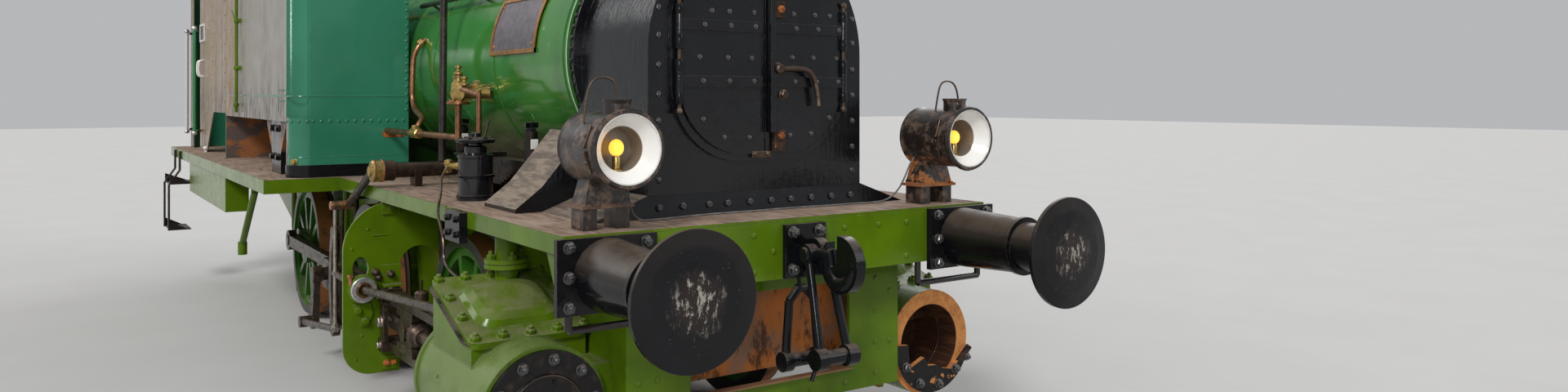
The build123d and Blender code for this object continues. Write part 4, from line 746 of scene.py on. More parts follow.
def make_fittings_metal():
    """Black lubricator pots, brass check valves and copper pipes along the running plate."""
    metal = Finish("fittings_metal", (0.30, 0.135, 0.065), 0.34, 0.85)
    metal.layer(metal.patches((18, 5), 0.4, 0.65), (0.15, 0.075, 0.04), 0.4)
    for y in (LUBRICATOR_Y, -LUBRICATOR_Y):
        pot = metal.near(at(LUBRICATOR_BACK, y, 0), "Z", 0.089)
        metal.layer(pot, (0.010, 0.010, 0.011), 0.15, 0.0)
    brass = metal.all_of(metal.within("X", HALF_LENGTH - 2.70, HALF_LENGTH - 2.58), metal.beyond("Z", 1.668))
    metal.layer(brass, (0.48, 0.34, 0.12), 0.28, 0.9)
    metal.layer((brass, metal.patches((24, 5), 0.5, 0.62)), (0.20, 0.12, 0.05), 0.4)
    metal.patchy_gloss()
    metal.lumps(0.0005, 30, 200, 0.0015)
    return metal.done()


def make_rivet_black():
    """Black of the smokebox's rivets and bolts, dusty on top, with a painted highlight in pale grey along its edges."""
    paint = Finish("rivet_black", (0.016, 0.016, 0.018), 0.14, specular=0.6, coat=0.5)
    paint.dust((0.20, 0.17, 0.145), 0.9, low=0.2, high=0.5)
    # Pale grey along the edges: painted highlight for the glints on the heads.
    paint.layer((paint.edges(0.004), 0.5), (0.11, 0.10, 0.095), 0.3)
    return paint


def make_roof_paint():
    """Dark roof sheet, evenly sooted, with faint dust and streaks that run to the eaves."""
    roof = Finish("roof_paint", (0.030, 0.028, 0.028), 0.5, specular=0.35)
    roof.blotches((0.012, 0.011, 0.011), 1.4)
    streaks = roof.patches((1.0, 5, 0.6, roof.stretched(14, 1.2, 3)), 0.45, 0.7, 0.0, 0.6)
    roof.layer(streaks, (0.075, 0.068, 0.060), 0.7)
    roof.chips((0.09, 0.05, 0.03), 0.75)
    roof.lumps(0.0012, 8, 90)
    return roof.done()


def make_handrail_paint():
    """Rails: brown steel along the boiler and at the beams, green at the doorways' front edge and white at the rear."""
    rail = Finish("handrail_paint", (0.05, 0.04, 0.033), 0.3, 0.5)
    rail.blotches((0.018, 0.014, 0.012), 16)
    for side in (LEFT, RIGHT):
        low_black = rail.all_of(rail.within("Z", 0.70, 1.0), rail.beyond("X", HALF_LENGTH - 1.0))
        rail.layer(low_black, (0.014, 0.011, 0.010), 0.2, 0.1)
        rail.layer(rail.near(at(8.110, side * 1.350, 0), "Z", 0.024), (0.03, 0.20, 0.07), 0.2, 0.0)
        rail.layer(rail.near(at(8.690, side * 1.350, 0), "Z", 0.024), (0.62, 0.60, 0.58), 0.25, 0.1)
    rail.patchy_gloss(0.7, 1.5, 30)
    rail.lumps(0.0005, 30, 200)
    return rail.done()


def finished(builder, distance=0.0007, coarse=18, fine=150):
    """Material of a builder with the usual uneven surface."""
    builder.lumps(distance, coarse, fine)
    return builder.done()


def glowing(name, colour, strength):
    """Lit glass: even glow, its colour paler in patches."""
    glass = Finish(name, colour, 0.2)
    glass.layer(glass.patches((20, 2), 0.4, 0.7, 0.0, 0.4), (0.95, 0.7, 0.25))
    glass.feed(glass.shader.inputs["Emission Color"], colour)
    glass.feed(glass.shader.inputs["Emission Strength"], strength)
    return glass.done()


def plain_metal(name, colour, dark, rough, metal):
    """Small fitting's metal, darker in patches."""
    made = Finish(name, colour, rough, metal)
    made.blotches(dark, 22)
    made.patchy_gloss(0.7, 1.6, 30)
    return made


# Each finish is a material and the name of a slot
finishes = {
    "frames_paint": (make_frames_paint(), "frame_green"),
    "frame_green": (finished(green_paint("frame_green")), "frame_green"),
    "front_plate_paint": (make_front_plate_paint(), "frame_green"),
    "deck_paint": (make_deck_paint(), "deck_plate"),
    "boiler_paint": (make_boiler_paint(), "boiler_green"),
    "tank_paint": (make_tank_paint("tank_paint"), "tank_green"),
    "tank_front_paint": (make_tank_paint("tank_front_paint", False), "tank_green"),
    "rivet_black": (finished(make_rivet_black(), 0.0009), "smokebox_black"),
    "side_paint": (make_side_paint(), "side_paint"),
    "smokebox_paint": (make_smokebox_paint(), "smokebox_black"),
    "black_gloss": (finished(black_paint("black_gloss"), 0.0009), "smokebox_black"),
    "buffer_paint": (make_buffer_paint(), "buffer_black"),
    "cylinder_left_paint": (make_cylinder_paint("cylinder_left_paint", LEFT), "frame_green"),
    "cylinder_right_paint": (make_cylinder_paint("cylinder_right_paint", RIGHT), "frame_green"),
    "wheel_front_paint": (make_wheel_paint("wheel_front_paint", 2.350), "tyre_steel"),
    "wheel_middle_paint": (make_wheel_paint("wheel_middle_paint", 4.200), "tyre_steel"),
    "wheel_rear_paint": (make_wheel_paint("wheel_rear_paint", 6.050), "tyre_steel"),
    "oily_steel": (finished(oily_metal("oily_steel"), 0.0005, 30, 200), "motion_steel"),
    "rod_steel": (finished(oily_metal("rod_steel", (0.06, 0.04, 0.028), (0.22, 0.16, 0.11), 0.3, 0.35),
                           0.0005, 30, 200), "motion_steel"),
    "under_black": (finished(oily_metal("under_black", (0.022, 0.018, 0.016), (0.06, 0.045, 0.035), 0.4, 0.5), 0.0008),
                    "under_black"),
    "lamp_paint": (make_lamp_paint(), "lamp_metal"),
    "fittings_metal": (make_fittings_metal(), "brass_work"),
    "rust": (finished(rusted("rust"), 0.0014, 40, 160), "under_black"),
    "rusty_black": (finished(rusted("rusty_black", (0.06, 0.028, 0.016), (0.016, 0.012, 0.010)), 0.0012, 40, 160),
                    "smokebox_black"),
    "handrail_paint": (make_handrail_paint(), "motion_steel"),
    "roof_paint": (make_roof_paint(), "smokebox_black"),
    "bulb_glow": (glowing("bulb_glow", (1.0, 0.52, 0.06), 1.3), "brass_work"),
}
PLAIN_METALS = (
    # name, slot, colour, darker colour, roughness, metal, bump height, coarse and fine waves a metre
    ("brass", "brass_work", (0.50, 0.35, 0.12), (0.24, 0.15, 0.05), 0.28, 0.85, 0.0004, 40, 220),
    ("copper", "brass_work", (0.42, 0.19, 0.09), (0.18, 0.08, 0.045), 0.3, 0.85, 0.0004, 40, 220),
    ("bright_steel", "motion_steel", (0.42, 0.37, 0.31), (0.13, 0.10, 0.08), 0.3, 0.8, 0.0004, 40, 220),
    ("white_steel", "motion_steel", (0.55, 0.55, 0.54), (0.30, 0.29, 0.28), 0.3, 0.7, 0.0003, 40, 220),
    ("worn_brass", "brass_work", (0.36, 0.17, 0.05), (0.20, 0.09, 0.03), 0.35, 0.7, 0.0004, 40, 220),
    ("pale_paint", "boiler_green", (0.62, 0.66, 0.60), (0.35, 0.42, 0.33), 0.35, 0.0, 0.0003, 18, 150),
    ("white_enamel", "lamp_metal", (0.75, 0.74, 0.71), (0.60, 0.58, 0.54), 0.25, 0.0, 0.0003, 18, 150),
    ("plate_field", "brass_work", (0.12, 0.10, 0.115), (0.07, 0.06, 0.07), 0.4, 0.2, 0.0004, 60, 220),
    ("cable_sheath", "cable_sheath", (0.16, 0.155, 0.15), (0.07, 0.06, 0.055), 0.5, 0.0, 0.0003, 60, 240),
)
for name, slot, colour, dark, rough, metal, height, coarse, fine in PLAIN_METALS:
    finishes[name] = finished(plain_metal(name, colour, dark, rough, metal), height, coarse, fine), slot
# The CAD nodes of each finish; all others are black_gloss
node_finishes = {
    "frames_paint": "frames",
    "front_plate_paint": "front_plate",
    "deck_paint": "running_plate",
    "boiler_paint": "boiler domes",
    "tank_paint": "tank_left tank_right cab_front cab_rear",
    "side_paint": "cab_side_left cab_side_right",
    "smokebox_paint": "smokebox smokebox_door_left smokebox_door_right",
    "buffer_paint": "buffers",
    "cylinder_left_paint": "cylinder_left",
    "cylinder_right_paint": "cylinder_right",
    "wheel_front_paint": "axle_front",
    "wheel_middle_paint": "axle_middle",
    "wheel_rear_paint": "axle_rear",
    "oily_steel": "slide_bars crossheads",
    "rod_steel": "reversing_shaft main_rods valve_gear coupling_rod_left coupling_rod_right",
    "under_black": "axle_boxes springs brake_gear cab_steps",
    "lamp_paint": "lamps",
    "fittings_metal": "boiler_fittings",
    "brass": "backhead_fittings",
    "frame_green": "buffer_beams motion_plates sand_pipes coal_bunker",
    "handrail_paint": "handrails",
    "roof_paint": "cab_roof",
}
finish_of = {node: finish for finish, nodes in node_finishes.items() for node in nodes.split()}
for name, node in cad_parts.items():
    node.data.materials.clear()
    node.data.materials.append(finishes[finish_of.get(name, "black_gloss")][0])


def make_lamp_cable():
    """Thin cable from lamp to lamp: one smooth curve led by the route's points, lying on the running plate."""
    route = (
        # back, y, up
        (0.800, -0.7449, 1.4049), (0.802, -0.722, 1.380), (0.812, -0.700, 1.318), (0.830, -0.682, 1.252),
        (0.852, -0.640, 1.206), (0.874, -0.574, 1.1993), (0.892, -0.490, 1.1993), (0.905, -0.395, 1.1993),
        (0.919, -0.302, 1.1993), (0.924, -0.190, 1.1993), (0.915, -0.078, 1.1993), (0.922, 0.034, 1.1993),
        (0.928, 0.146, 1.1993), (0.919, 0.258, 1.1993), (0.911, 0.368, 1.1993), (0.916, 0.474, 1.1993),
        (0.898, 0.562, 1.1993), (0.868, 0.634, 1.206), (0.842, 0.684, 1.250), (0.818, 0.704, 1.312),
        (0.803, 0.724, 1.378), (0.800, 0.7449, 1.4049),
    )
    points = places(route)
    curve = bpy.data.curves.new("lamp_cable_line", "CURVE")
    curve.dimensions = "3D"
    curve.bevel_depth = 0.004
    curve.bevel_resolution = 3
    curve.resolution_u = 6
    spline = curve.splines.new("NURBS")
    spline.points.add(len(points) - 1)
    spline.points.foreach_set("co", np.column_stack((points, np.ones(len(points)))).astype(np.float32).ravel())
    spline.order_u = 3
    spline.use_endpoint_u = True
    curve.materials.append(finishes["cable_sheath"][0])
    cable = in_scene("lamp_cable_line", curve)
    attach(cable, "root")
    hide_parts("lamp_cable")


make_lamp_cable()


def at_end(end, back, y, up):
    """Frame point at the front (end 1) or, mirrored, at the rear (end -1), from its distance behind the buffers."""
    return np.array((end * (HALF_LENGTH - back), y, up + FLANGE))


AHEAD, UPWARD = (1, 0, 0), (0, 0, 1)


def make_smokebox_plate():
    """Rivets down both edges and round the crown of the front plate, and bolts along its foot."""
    left_ups = (2.033, 1.923, 1.803, 1.687, 1.571, 1.454, 1.345)
    right_ups = (2.04, 1.928, 1.809, 1.690, 1.585, 1.465, 1.346)
    angle = np.radians(np.linspace(26, 154, 11))
    crown = np.column_stack((np.full(11, 0.948), 0.507 * np.cos(angle), BOILER_UP + 0.507 * np.sin(angle)))
    columns = [(0.948, 0.500, up) for up in left_ups] + [(0.948, -0.495, up) for up in right_ups]
    make_piece("smokebox_plate_rivets", placed(rivet(0.0135), np.vstack((places(columns), places(crown))), AHEAD),
               "rivet_black")
    foot = [(0.9424, y, 1.236) for y in (-0.497, -0.388, -0.264, -0.173, -0.062, 0.047, 0.151, 0.262, 0.374, 0.483)]
    make_piece("smokebox_foot_bolts", placed(bolt(0.026, 0.012), places(foot), (1, 0, 0.13), 15), "rivet_black")
    clasp = brick(at(0.932, -0.065, 1.425), at(0.918, 0.03, 1.452), 0.003)
    ring_bolts = placed(bolt(0.018, 0.010), places(((0.918, -0.05, 1.4385), (0.918, 0.015, 1.4385))), AHEAD)
    make_piece("door_clasp", joined(clasp, ring_bolts), "oily_steel")


def make_door_fastenings():
    """Rivets of both leaves and their straps, the rusty brackets, the bent handle and the hinge pins."""
    leaf, strap = 0.9197, 0.9077
    right = [(leaf, y, 2.035) for y in (-0.263, -0.177, -0.053)] + [(strap, y, 1.975) for y in (-0.304, -0.177, -0.053)]
    right += [(leaf, y, 1.842) for y in (-0.321, -0.184, -0.065)] + [(strap, y, 1.745)
                                                                     for y in (-0.311, -0.184, -0.061)]
    right += [(leaf, -0.304, 1.588), (leaf, -0.202, 1.511), (leaf, -0.077, 1.508), (leaf, -0.24, 2.17),
              (leaf, -0.09, 2.20)]
    make_piece("right_leaf_rivets", placed(rivet(0.0125), places(right), AHEAD), "rivet_black", "door_leaf_right")
    left = [(leaf, y, 2.038) for y in (0.152, 0.268, 0.350)] + [(strap, y, 1.975) for y in (0.157, 0.276, 0.392)]
    left += [(leaf, y, 1.849) for y in (0.145, 0.259, 0.387)] + [(strap, y, 1.745) for y in (0.152, 0.268, 0.387)]
    left += [(leaf, 0.347, 1.586), (leaf, 0.133, 1.513), (leaf, 0.245, 1.517), (leaf, 0.24, 2.17), (leaf, 0.11, 2.20)]
    make_piece("left_leaf_rivets", placed(rivet(0.0125), places(left), AHEAD), "rivet_black", "door_leaf_left")
    brackets = [brick(at(leaf, 0.036, low), at(0.897, 0.092, high), 0.004)
                for low, high in ((1.45, 1.54), (2.02, 2.09))]
    nuts = placed(bolt(0.030, 0.016), places(((0.897, 0.066, 1.515), (0.897, 0.066, 2.055))), AHEAD)
    make_piece("locking_bar_brackets", joined(*brackets), "rusty_black", "door_leaf_left")
    make_piece("locking_bar_nuts", nuts, "rust", "door_leaf_left")
    make_piece("leaf_nut", placed(bolt(0.034, 0.016, 0.004), at(leaf, 0.095, 1.69), AHEAD), "oily_steel",
               "door_leaf_left")
    hub = placed(turned(((0.030, 0), (0.030, 0.018), (0.022, 0.022), (0.022, 0.046), (0.015, 0.052)), 20),
                 at(leaf, 0.052, 1.800), AHEAD)
    lever = carried(eased(places(((0.888, 0.052, 1.800), (0.886, 0.150, 1.806), (0.884, 0.225, 1.790),
                                  (0.884, 0.252, 1.715), (0.886, 0.262, 1.640)))), circle(0.0105, 10), AHEAD,
                    np.linspace(1.25, 0.95, 22))
    make_piece("door_handle", joined(hub, lever), "oily_steel", "door_leaf_left")
    for side, name in SIDES:
        y = side * 0.421
        pin = bar(at(0.9137, y, 1.625), at(0.9137, y, 2.085), 0.0095)
        ends = placed(turned(((0.006, -0.004), (0.0135, 0.0), (0.0155, 0.010), (0.011, 0.019), (0.004, 0.022)), 14),
                      places(((0.9137, y, 2.080), (0.9137, y, 1.615))), UPWARD)
        make_piece("hinge_pin_" + name, joined(pin, ends), "oily_steel")
        ups = ((1.785, 1.845), (1.655, 1.705), (1.885, 1.935), (2.015, 2.06)) if side == LEFT else \
            ((1.785, 1.835), (1.652, 1.705), (1.875, 1.935), (2.015, 2.055))
        sleeves = [placed(turned(((0.0165, 0), (0.0175, 0.003), (0.0175, high - low - 0.003),
                                  (0.0165, high - low)), 18),
                          at(0.9137, y, low), UPWARD) for low, high in ups]
        make_piece("hinge_sleeves_" + name, joined(*sleeves), "black_gloss")


def make_lamp_details():
    """Lit bulb on its cap in each front reflector, the wire bail, spring clips and stand bolts."""
    for side, name in SIDES:
        foot = at(0.638, side * LAMP_Y, 1.417)
        cap = turned(((0.026, -0.004), (0.026, 0.004), (0.016, 0.010), (0.016, 0.048), (0.013, 0.056)), 18)
        make_piece("bulb_cap_" + name, placed(cap, foot, UPWARD), "brass")
        angle = np.radians(np.linspace(-62, 84, 10))
        globe = np.column_stack((0.0275 * np.cos(angle), 0.082 + 0.031 * np.sin(angle)))
        make_piece("bulb_" + name, placed(turned(globe, 20), foot, UPWARD), "bulb_glow")
        spots = places(((0.700, side * 0.781, 1.600), (0.700, side * 0.797, 1.690), (0.700, side * 0.820, 1.752),
                        (0.700, side * 0.895, 1.752), (0.700, side * 0.928, 1.690), (0.700, side * 0.935, 1.585)))
        wire = carried(eased(spots), circle(0.0042, 8), AHEAD)
        make_piece("lamp_bail_" + name, wire, "oily_steel")
        clips = []
        for turn in (20, 160, 200, 340):
            direction = np.array((0, math.cos(math.radians(turn)), math.sin(math.radians(turn))))
            start = at(0.615, side * LAMP_Y, LAMP_UP) + 0.128 * direction
            clips.append(placed(plate(oblong(0.016, 0.085, 0.004), 0.009, 0.002), start, direction))
            clips.append(placed(bolt(0.013, 0.007), start + 0.009 * direction, direction))
        make_piece("lamp_clips_" + name, joined(*clips), "oily_steel")
        rim = placed(turned(((0.1235, 0.0), (0.1255, 0.004), (0.1235, 0.006), (0.121, 0.003)), 40, True),
                     at(0.5385, side * LAMP_Y, LAMP_UP), AHEAD)
        make_piece("lamp_glass_ring_" + name, rim, "white_enamel")
        feet = placed(bolt(0.020, 0.010), places([(back, side * y, 1.2860) for back in (0.700, 0.876)
                                                  for y in (0.775, 0.878)]), UPWARD)
        make_piece("lamp_stand_bolts_" + name, feet, "rust" if side == LEFT else "oily_steel")


def make_beam_fastenings():
    """Bolts of the buffer bases and hook plates and rivets of the beams, at both ends, and the front plate's rivets."""
    bases, plates, rivets = [], [], []
    for end in (1, -1):
        ahead = (end, 0, 0)
        rows = [(side * BUFFER_Y + y, up) for side in (LEFT, RIGHT) for y, up in
                ((-0.150, 1.157), (0.150, 1.157), (-0.150, 0.949), (0.150, 0.949), (-0.150, 1.053), (0.150, 1.053))]
        bases.append(placed(bolt(0.034, 0.020, 0.004, 0.008), [at_end(end, 0.622, y, up) for y, up in rows], ahead, 12))
        rows = [(y, up) for y in (-0.066, 0.066) for up in (1.140, 0.992)]
        plates.append(placed(bolt(0.036, 0.022, 0.004, 0.010),
                             [at_end(end, 0.625, y, up) for y, up in rows], ahead, 40))
        rows = [(y, 1.137) for y in (-0.560, -0.400, -0.239, 0.215, 0.400, 0.560)] + [(-0.146, 1.068)]
        rows += [(y, 0.990) for y in (-0.560, -0.239, 0.239, 0.560)]
        rivets.append(placed(rivet(0.0125), [at_end(end, 0.647, y, up) for y, up in rows], ahead))
    make_piece("buffer_base_bolts", joined(*bases), "rivet_black")
    make_piece("hook_plate_bolts", joined(*plates), "rivet_black")
    make_piece("beam_rivets", joined(*rivets), "frame_green")
    edge = [(0.850, side * 0.555, up) for side in (LEFT, RIGHT) for up in (0.864, 0.717, 0.578, 0.439)]
    edge += [(0.850, y, 0.420) for y in (-0.382, -0.19, 0, 0.19, 0.382)]
    edge += [(0.850, side * 0.640, up) for side in (LEFT, RIGHT) for up in (0.573, 0.800)]
    make_piece("front_plate_rivets", placed(rivet(0.0125), places(edge), AHEAD), "frame_green")


def make_hooks():
    """Round bars over both draw hooks, carried along the shank and round the bowl to the point, and their pin ends."""
    turn = np.radians(np.linspace(158, 402, 22))
    bowl = np.column_stack((0.388 - 0.076 * np.cos(turn), np.zeros(22), 1.035 + 0.076 * np.sin(turn)))
    line = np.vstack((((0.612, 0, 1.060), (0.575, 0, 1.060), (0.530, 0, 1.062), (0.490, 0, 1.064)), bowl))
    swell = np.concatenate(((1.15, 1.25, 1.2, 1.05),
                            np.interp(np.linspace(0, 1, 22), (0, 0.5, 0.85, 1), (1, 1.2, 0.9, 0.35))))
    hooks, nuts = [], []
    for end in (1, -1):
        path = line if end == 1 else line[::-1]
        path = np.array([at_end(end, back, y, up) for back, y, up in path])
        hooks.append(carried(path, circle(0.0295, 14), (0, 1, 0), swell if end == 1 else swell[::-1]))
        for side in (LEFT, RIGHT):
            nuts.append(placed(turned(((0.026, -0.004), (0.030, 0.004), (0.026, 0.014), (0.012, 0.018)), 18),
                               at_end(end, 0.548, side * 0.060, 1.060), (0, side, 0)))
    make_piece("hook_forgings", joined(*hooks), "black_gloss")
    make_piece("hook_pin_ends", joined(*nuts), "black_gloss")


make_hooks()
make_smokebox_plate()
make_door_fastenings()
make_lamp_details()
make_beam_fastenings()


LID_SLOPE = math.radians(20.08)
LID_FALL = np.array((math.cos(LID_SLOPE), 0, -math.sin(LID_SLOPE)))
LID_UP = np.array((math.sin(LID_SLOPE), 0, math.cos(LID_SLOPE)))


def on_lid(side, rows):
    """Frame points on a steam chest's sloping lid, of rows (down the slope, towards the inside, above the lid)."""
    rows = np.asarray(rows, float).reshape(-1, 3)
    return (at(1.3925, side * 0.950, 0.806) + rows[:, :1] * LID_FALL + rows[:, 1:2] * np.array((0, -side, 0))
            + rows[:, 2:] * LID_UP)


def wall_plate(back, outline, thick, side):
    """Flat plate on a crosswise wall that looks forward, over a (y, up) outline drawn for the left side."""
    outline = np.asarray(outline, float)
    outline = outline * (side, 1)
    x, y = outline.T
    if (x * np.roll(y, -1) - y * np.roll(x, -1)).sum() < 0:
        outline = outline[::-1]
    return placed(plate(outline, thick, 0.002), at(back, 0, 0), AHEAD)


def make_chest_fastenings(side, name):
    """Nuts round the chest lid, its joint line, the relief fitting and the nuts of the steam pipe's flange."""
    rows = [(x, y, 0.029) for y in (-0.222, 0.222) for x in (-0.234, -0.078, 0.078, 0.234)]
    rows += [(x, y, 0.029) for x in (-0.234, 0.234) for y in (-0.111, 0.0, 0.111)]
    make_piece("chest_nuts_" + name, placed(bolt(0.036, 0.020, 0.004, 0.012), on_lid(side, rows), LID_UP, 10),
               "frame_green")
    joint = placed(plate(oblong(0.5285, 0.4975, 0.046), 0.003), on_lid(side, (0, 0, 0.012)), LID_UP)
    make_piece("chest_joint_" + name, joint, "black_gloss")
    profile = ((0.030, -0.004), (0.031, 0.012), (0.020, 0.018), (0.019, 0.030), (0.030, 0.042), (0.033, 0.056),
               (0.027, 0.070), (0.018, 0.078))
    foot = on_lid(side, (-0.168, 0.070, 0.028))
    relief = joined(placed(turned(profile, 20), foot, UPWARD), placed(bolt(0.032, 0.030), foot + (0, 0, 0.076), UPWARD),
                    placed(turned(((0.011, 0), (0.011, 0.016), (0.006, 0.020)), 12), foot + (0, 0, 0.106), UPWARD))
    make_piece("relief_fitting_" + name, relief, "frame_green")
    angle = np.radians((0, 90, 180, 270))
    nuts = np.column_stack((1.550 + 0.068 * np.sin(angle), side * 0.900 + 0.068 * np.cos(angle), np.full(4, 0.997)))
    make_piece("steam_flange_nuts_" + name, placed(bolt(0.034, 0.020, 0.0, 0.016), places(nuts), UPWARD, 15),
               "frame_green")
    seam = placed(turned(((0.0905, 0), (0.0928, 0.0005), (0.0928, 0.003), (0.0905, 0.0035)), 36, True),
                  at(1.550, side * 0.900, 0.977), UPWARD)
    make_piece("steam_flange_joint_" + name, seam, "black_gloss")


def make_cylinder_fastenings(side, name):
    """Cover nuts in front, lagging screws on the barrel, and the gland and nuts of the rear cover."""
    angle = np.radians(9 + 36 * np.arange(10)) if side == RIGHT else np.radians(171 - 36 * np.arange(10))
    ring = np.column_stack((np.cos(angle), np.sin(angle)))
    if side == RIGHT:
        nuts = [(0.930, side * BORE_Y + 0.200 * y, AXLE_UP + 0.200 * up) for y, up in ring]
        line = placed(turned(((0.1415, 0), (0.1450, 0), (0.1450, 0.0022), (0.1415, 0.0022)), 56, True),
                      at(0.9205, side * BORE_Y, AXLE_UP), AHEAD)
        make_piece("cover_line_" + name, line, "oily_steel")
        small = [(0.920, side * BORE_Y + y, AXLE_UP + up)
                 for y, up in ((0.030, 0.118), (-0.075, 0.085), (0.095, 0.055))]
        make_piece("cover_plugs_" + name, placed(bolt(0.016, 0.008), places(small), AHEAD), "black_gloss")
    else:
        nuts = [(0.920, side * BORE_Y + 0.200 * y, AXLE_UP + 0.200 * up) for y, up in ring[6:]]
        nuts.append((0.920, side * BORE_Y + 0.212, AXLE_UP - 0.092))
        step = placed(turned(((0.1745, 0), (0.1795, 0), (0.1795, 0.006), (0.1745, 0.006)), 48, True),
                      at(1.075, side * BORE_Y, AXLE_UP), AHEAD)
        make_piece("bore_step_" + name, step, "oily_steel")
        stud = bar(at(0.935, side * BORE_Y + 0.180, AXLE_UP - 0.118),
                   at(0.905, side * BORE_Y + 0.226, AXLE_UP - 0.040), 0.016)
        make_piece("broken_stud_" + name, stud, "rusty_black")
    make_piece("cover_nuts_" + name, placed(bolt(0.034, 0.018, 0.004, 0.012), places(nuts), AHEAD, 8), "rivet_black")
    angle = np.radians((38, 38, 38, 75, 75, 112, 112))
    backs = np.array((1.08, 1.30, 1.55, 1.15, 1.45, 1.08, 1.50))
    outward = np.column_stack((np.zeros(7), side * np.sin(angle), np.cos(angle)))
    spots = at(0, side * BORE_Y, AXLE_UP) - np.outer(backs, AHEAD) + 0.2500 * outward
    make_piece("lagging_screws_" + name, placed(rivet(0.009), spots, outward), "frame_green")
    angle = np.radians(30 * np.arange(12) + 15)
    nuts = [(1.750, side * BORE_Y + 0.198 * math.cos(turn), AXLE_UP + 0.198 * math.sin(turn)) for turn in angle]
    rear = placed(bolt(0.032, 0.018, 0.0, 0.010), places(nuts), (-1, 0, 0))
    gland = placed(turned(((0.070, -0.002), (0.070, 0.020), (0.056, 0.026), (0.050, 0.060), (0.042, 0.066)), 24),
                   at(1.750, side * BORE_Y, AXLE_UP), (-1, 0, 0))
    make_piece("rear_cover_nuts_" + name, joined(rear, gland), "oily_steel")


def make_motion_plate_fittings(side, name):
    """Cleat, brackets and bolts of the motion plate, its steel guide ring, and the blocks that end the slide bars."""
    face = 3.028
    green = [brick(at(face, side * 0.935, 1.055), at(face - 0.012, side * 1.028, 1.125)),
             brick(at(face, side * 0.932, 0.672), at(face - 0.014, side * 1.030, 0.787)),
             brick(at(face, side * 0.932, 0.672), at(face - 0.055, side * 1.030, 0.686)),
             wall_plate(face,
                        ((1.178, 0.592), (1.085, 0.592), (1.074, 0.535), (1.096, 0.470), (1.136, 0.470)), 0.013, side)]
    make_piece("motion_brackets_" + name, joined(*green), "frame_green")
    green_bolts = places(((face - 0.012, side * 0.979, 1.089), (face - 0.013, side * 1.152, 0.558),
                          (face - 0.013, side * 1.114, 0.500)))
    make_piece("motion_bolts_" + name, placed(bolt(0.034, 0.016, 0.003), green_bolts, AHEAD, 20), "frame_green")
    bare = places(((face - 0.014, side * 0.985, 0.735), (face, side * 1.044, 0.722), (face, side * 1.060, 0.750)))
    ring = turned(((0.038, 0), (0.064, 0), (0.0665, 0.003), (0.0665, 0.010), (0.062, 0.013), (0.040, 0.013)), 32, True)
    centre = at(2.984, side * 1.130, 0.670)
    make_piece("motion_nuts_" + name, placed(bolt(0.032, 0.020, 0.003, 0.010), bare, AHEAD), "oily_steel")
    make_piece("guide_ring_" + name, placed(ring, centre, AHEAD), "white_steel")
    bush = turned(((0.027, 0), (0.038, 0), (0.038, 0.020), (0.030, 0.020)), 24, True)
    stud = joined(bar(at(3.005, side * 1.190, 0.670), at(3.005, side * 1.190, 0.745), 0.012),
                  placed(bolt(0.030, 0.016), at(3.005, side * 1.190, 0.735), UPWARD))
    make_piece("guide_bush_" + name, joined(placed(bush, centre, AHEAD), stud), "copper")
    blocks = [brick(at(3.026, side * 0.938, low), at(2.955, side * 1.046, low + 0.072), 0.004)
              for low in (0.335, 0.594)]
    blocks.append(brick(at(2.985, side * 1.024, 0.405), at(2.915, side * 1.048, 0.596), 0.003))
    make_piece("slide_bar_blocks_" + name, joined(*blocks), "oily_steel")
    bolts = [placed(bolt(0.046, 0.020, 0.005), at(2.950, side * 1.048, 0.500), (0, side, 0)),
             placed(bolt(0.030, 0.016, 0.003), places([(2.990, side * 1.046, up) for up in (0.371, 0.630)]),
                    (0, side, 0)),
             placed(bolt(0.030, 0.016, 0.003), at(2.990, side * 0.990, 0.666), UPWARD)]
    make_piece("slide_bar_bolts_" + name, joined(*bolts), "bright_steel")
    small = brick(at(face, side * 0.950, 0.232), at(face - 0.016, side * 1.030, 0.300))
    make_piece("foot_bracket_" + name, small, "frame_green")
    make_piece("foot_bracket_bolts_" + name,
               placed(bolt(0.026, 0.014, 0.003),
                      places([(face - 0.016, side * y, 0.266) for y in (0.972, 1.008)]), AHEAD),
               "rust")
    line = carried(places(((face - 0.0005, side * 1.000, 0.945), (face - 0.0005, side * 1.070, 0.945))),
                   circle(0.004, 8))
    heads = placed(rivet(0.009), places([(face, side * y, up) for y, up in
                                         ((1.100, 0.980), (1.180, 0.880), (1.130, 0.420), (1.160, 0.300))]), AHEAD)
    make_piece("motion_plate_rivets_" + name, joined(line, heads), "frame_green")


def make_reversing_details(side, name):
    """Brass end cap of the reversing shaft, the copper pin of its arm and the hanging rod with its eyes."""
    cap = placed(turned(((0.052, 0), (0.0585, 0.004), (0.0585, 0.058), (0.052, 0.064), (0.030, 0.066), (0.028, 0.076),
                         (0.016, 0.080)), 28), at(SHAFT_BACK, side * 1.014, 1.285), (0, side, 0))
    make_piece("shaft_cap_" + name, cap, "brass")
    rings = [placed(turned(((0.0575, 0), (0.0610, 0.002), (0.0610, 0.008), (0.0575, 0.010)), 32, True),
                    at(SHAFT_BACK, side * y, 1.285), (0, side, 0)) for y in (1.016, 1.060)]
    pin = bar(at(HANGER_BACK, side * 1.036, 1.062), at(HANGER_BACK, side * 1.168, 1.062), 0.026, 18)
    make_piece("arm_pin_" + name, joined(pin, *rings), "copper")
    rod = bar(at(HANGER_BACK, side * 1.140, 1.070), at(HANGER_BACK, side * 1.140, 0.370), 0.0115)
    eyes = [placed(turned(((0.014, 0), (0.026, 0.002), (0.026, 0.026), (0.014, 0.028)), 18),
                   at(HANGER_BACK, side * 1.124, up), (0, side, 0)) for up in (1.062, 0.366)]
    lower = bar(at(HANGER_BACK, side * 1.010, 0.366), at(HANGER_BACK, side * 1.160, 0.366), 0.013)
    make_piece("hanging_rod_" + name, joined(rod, *eyes, lower), "bright_steel")


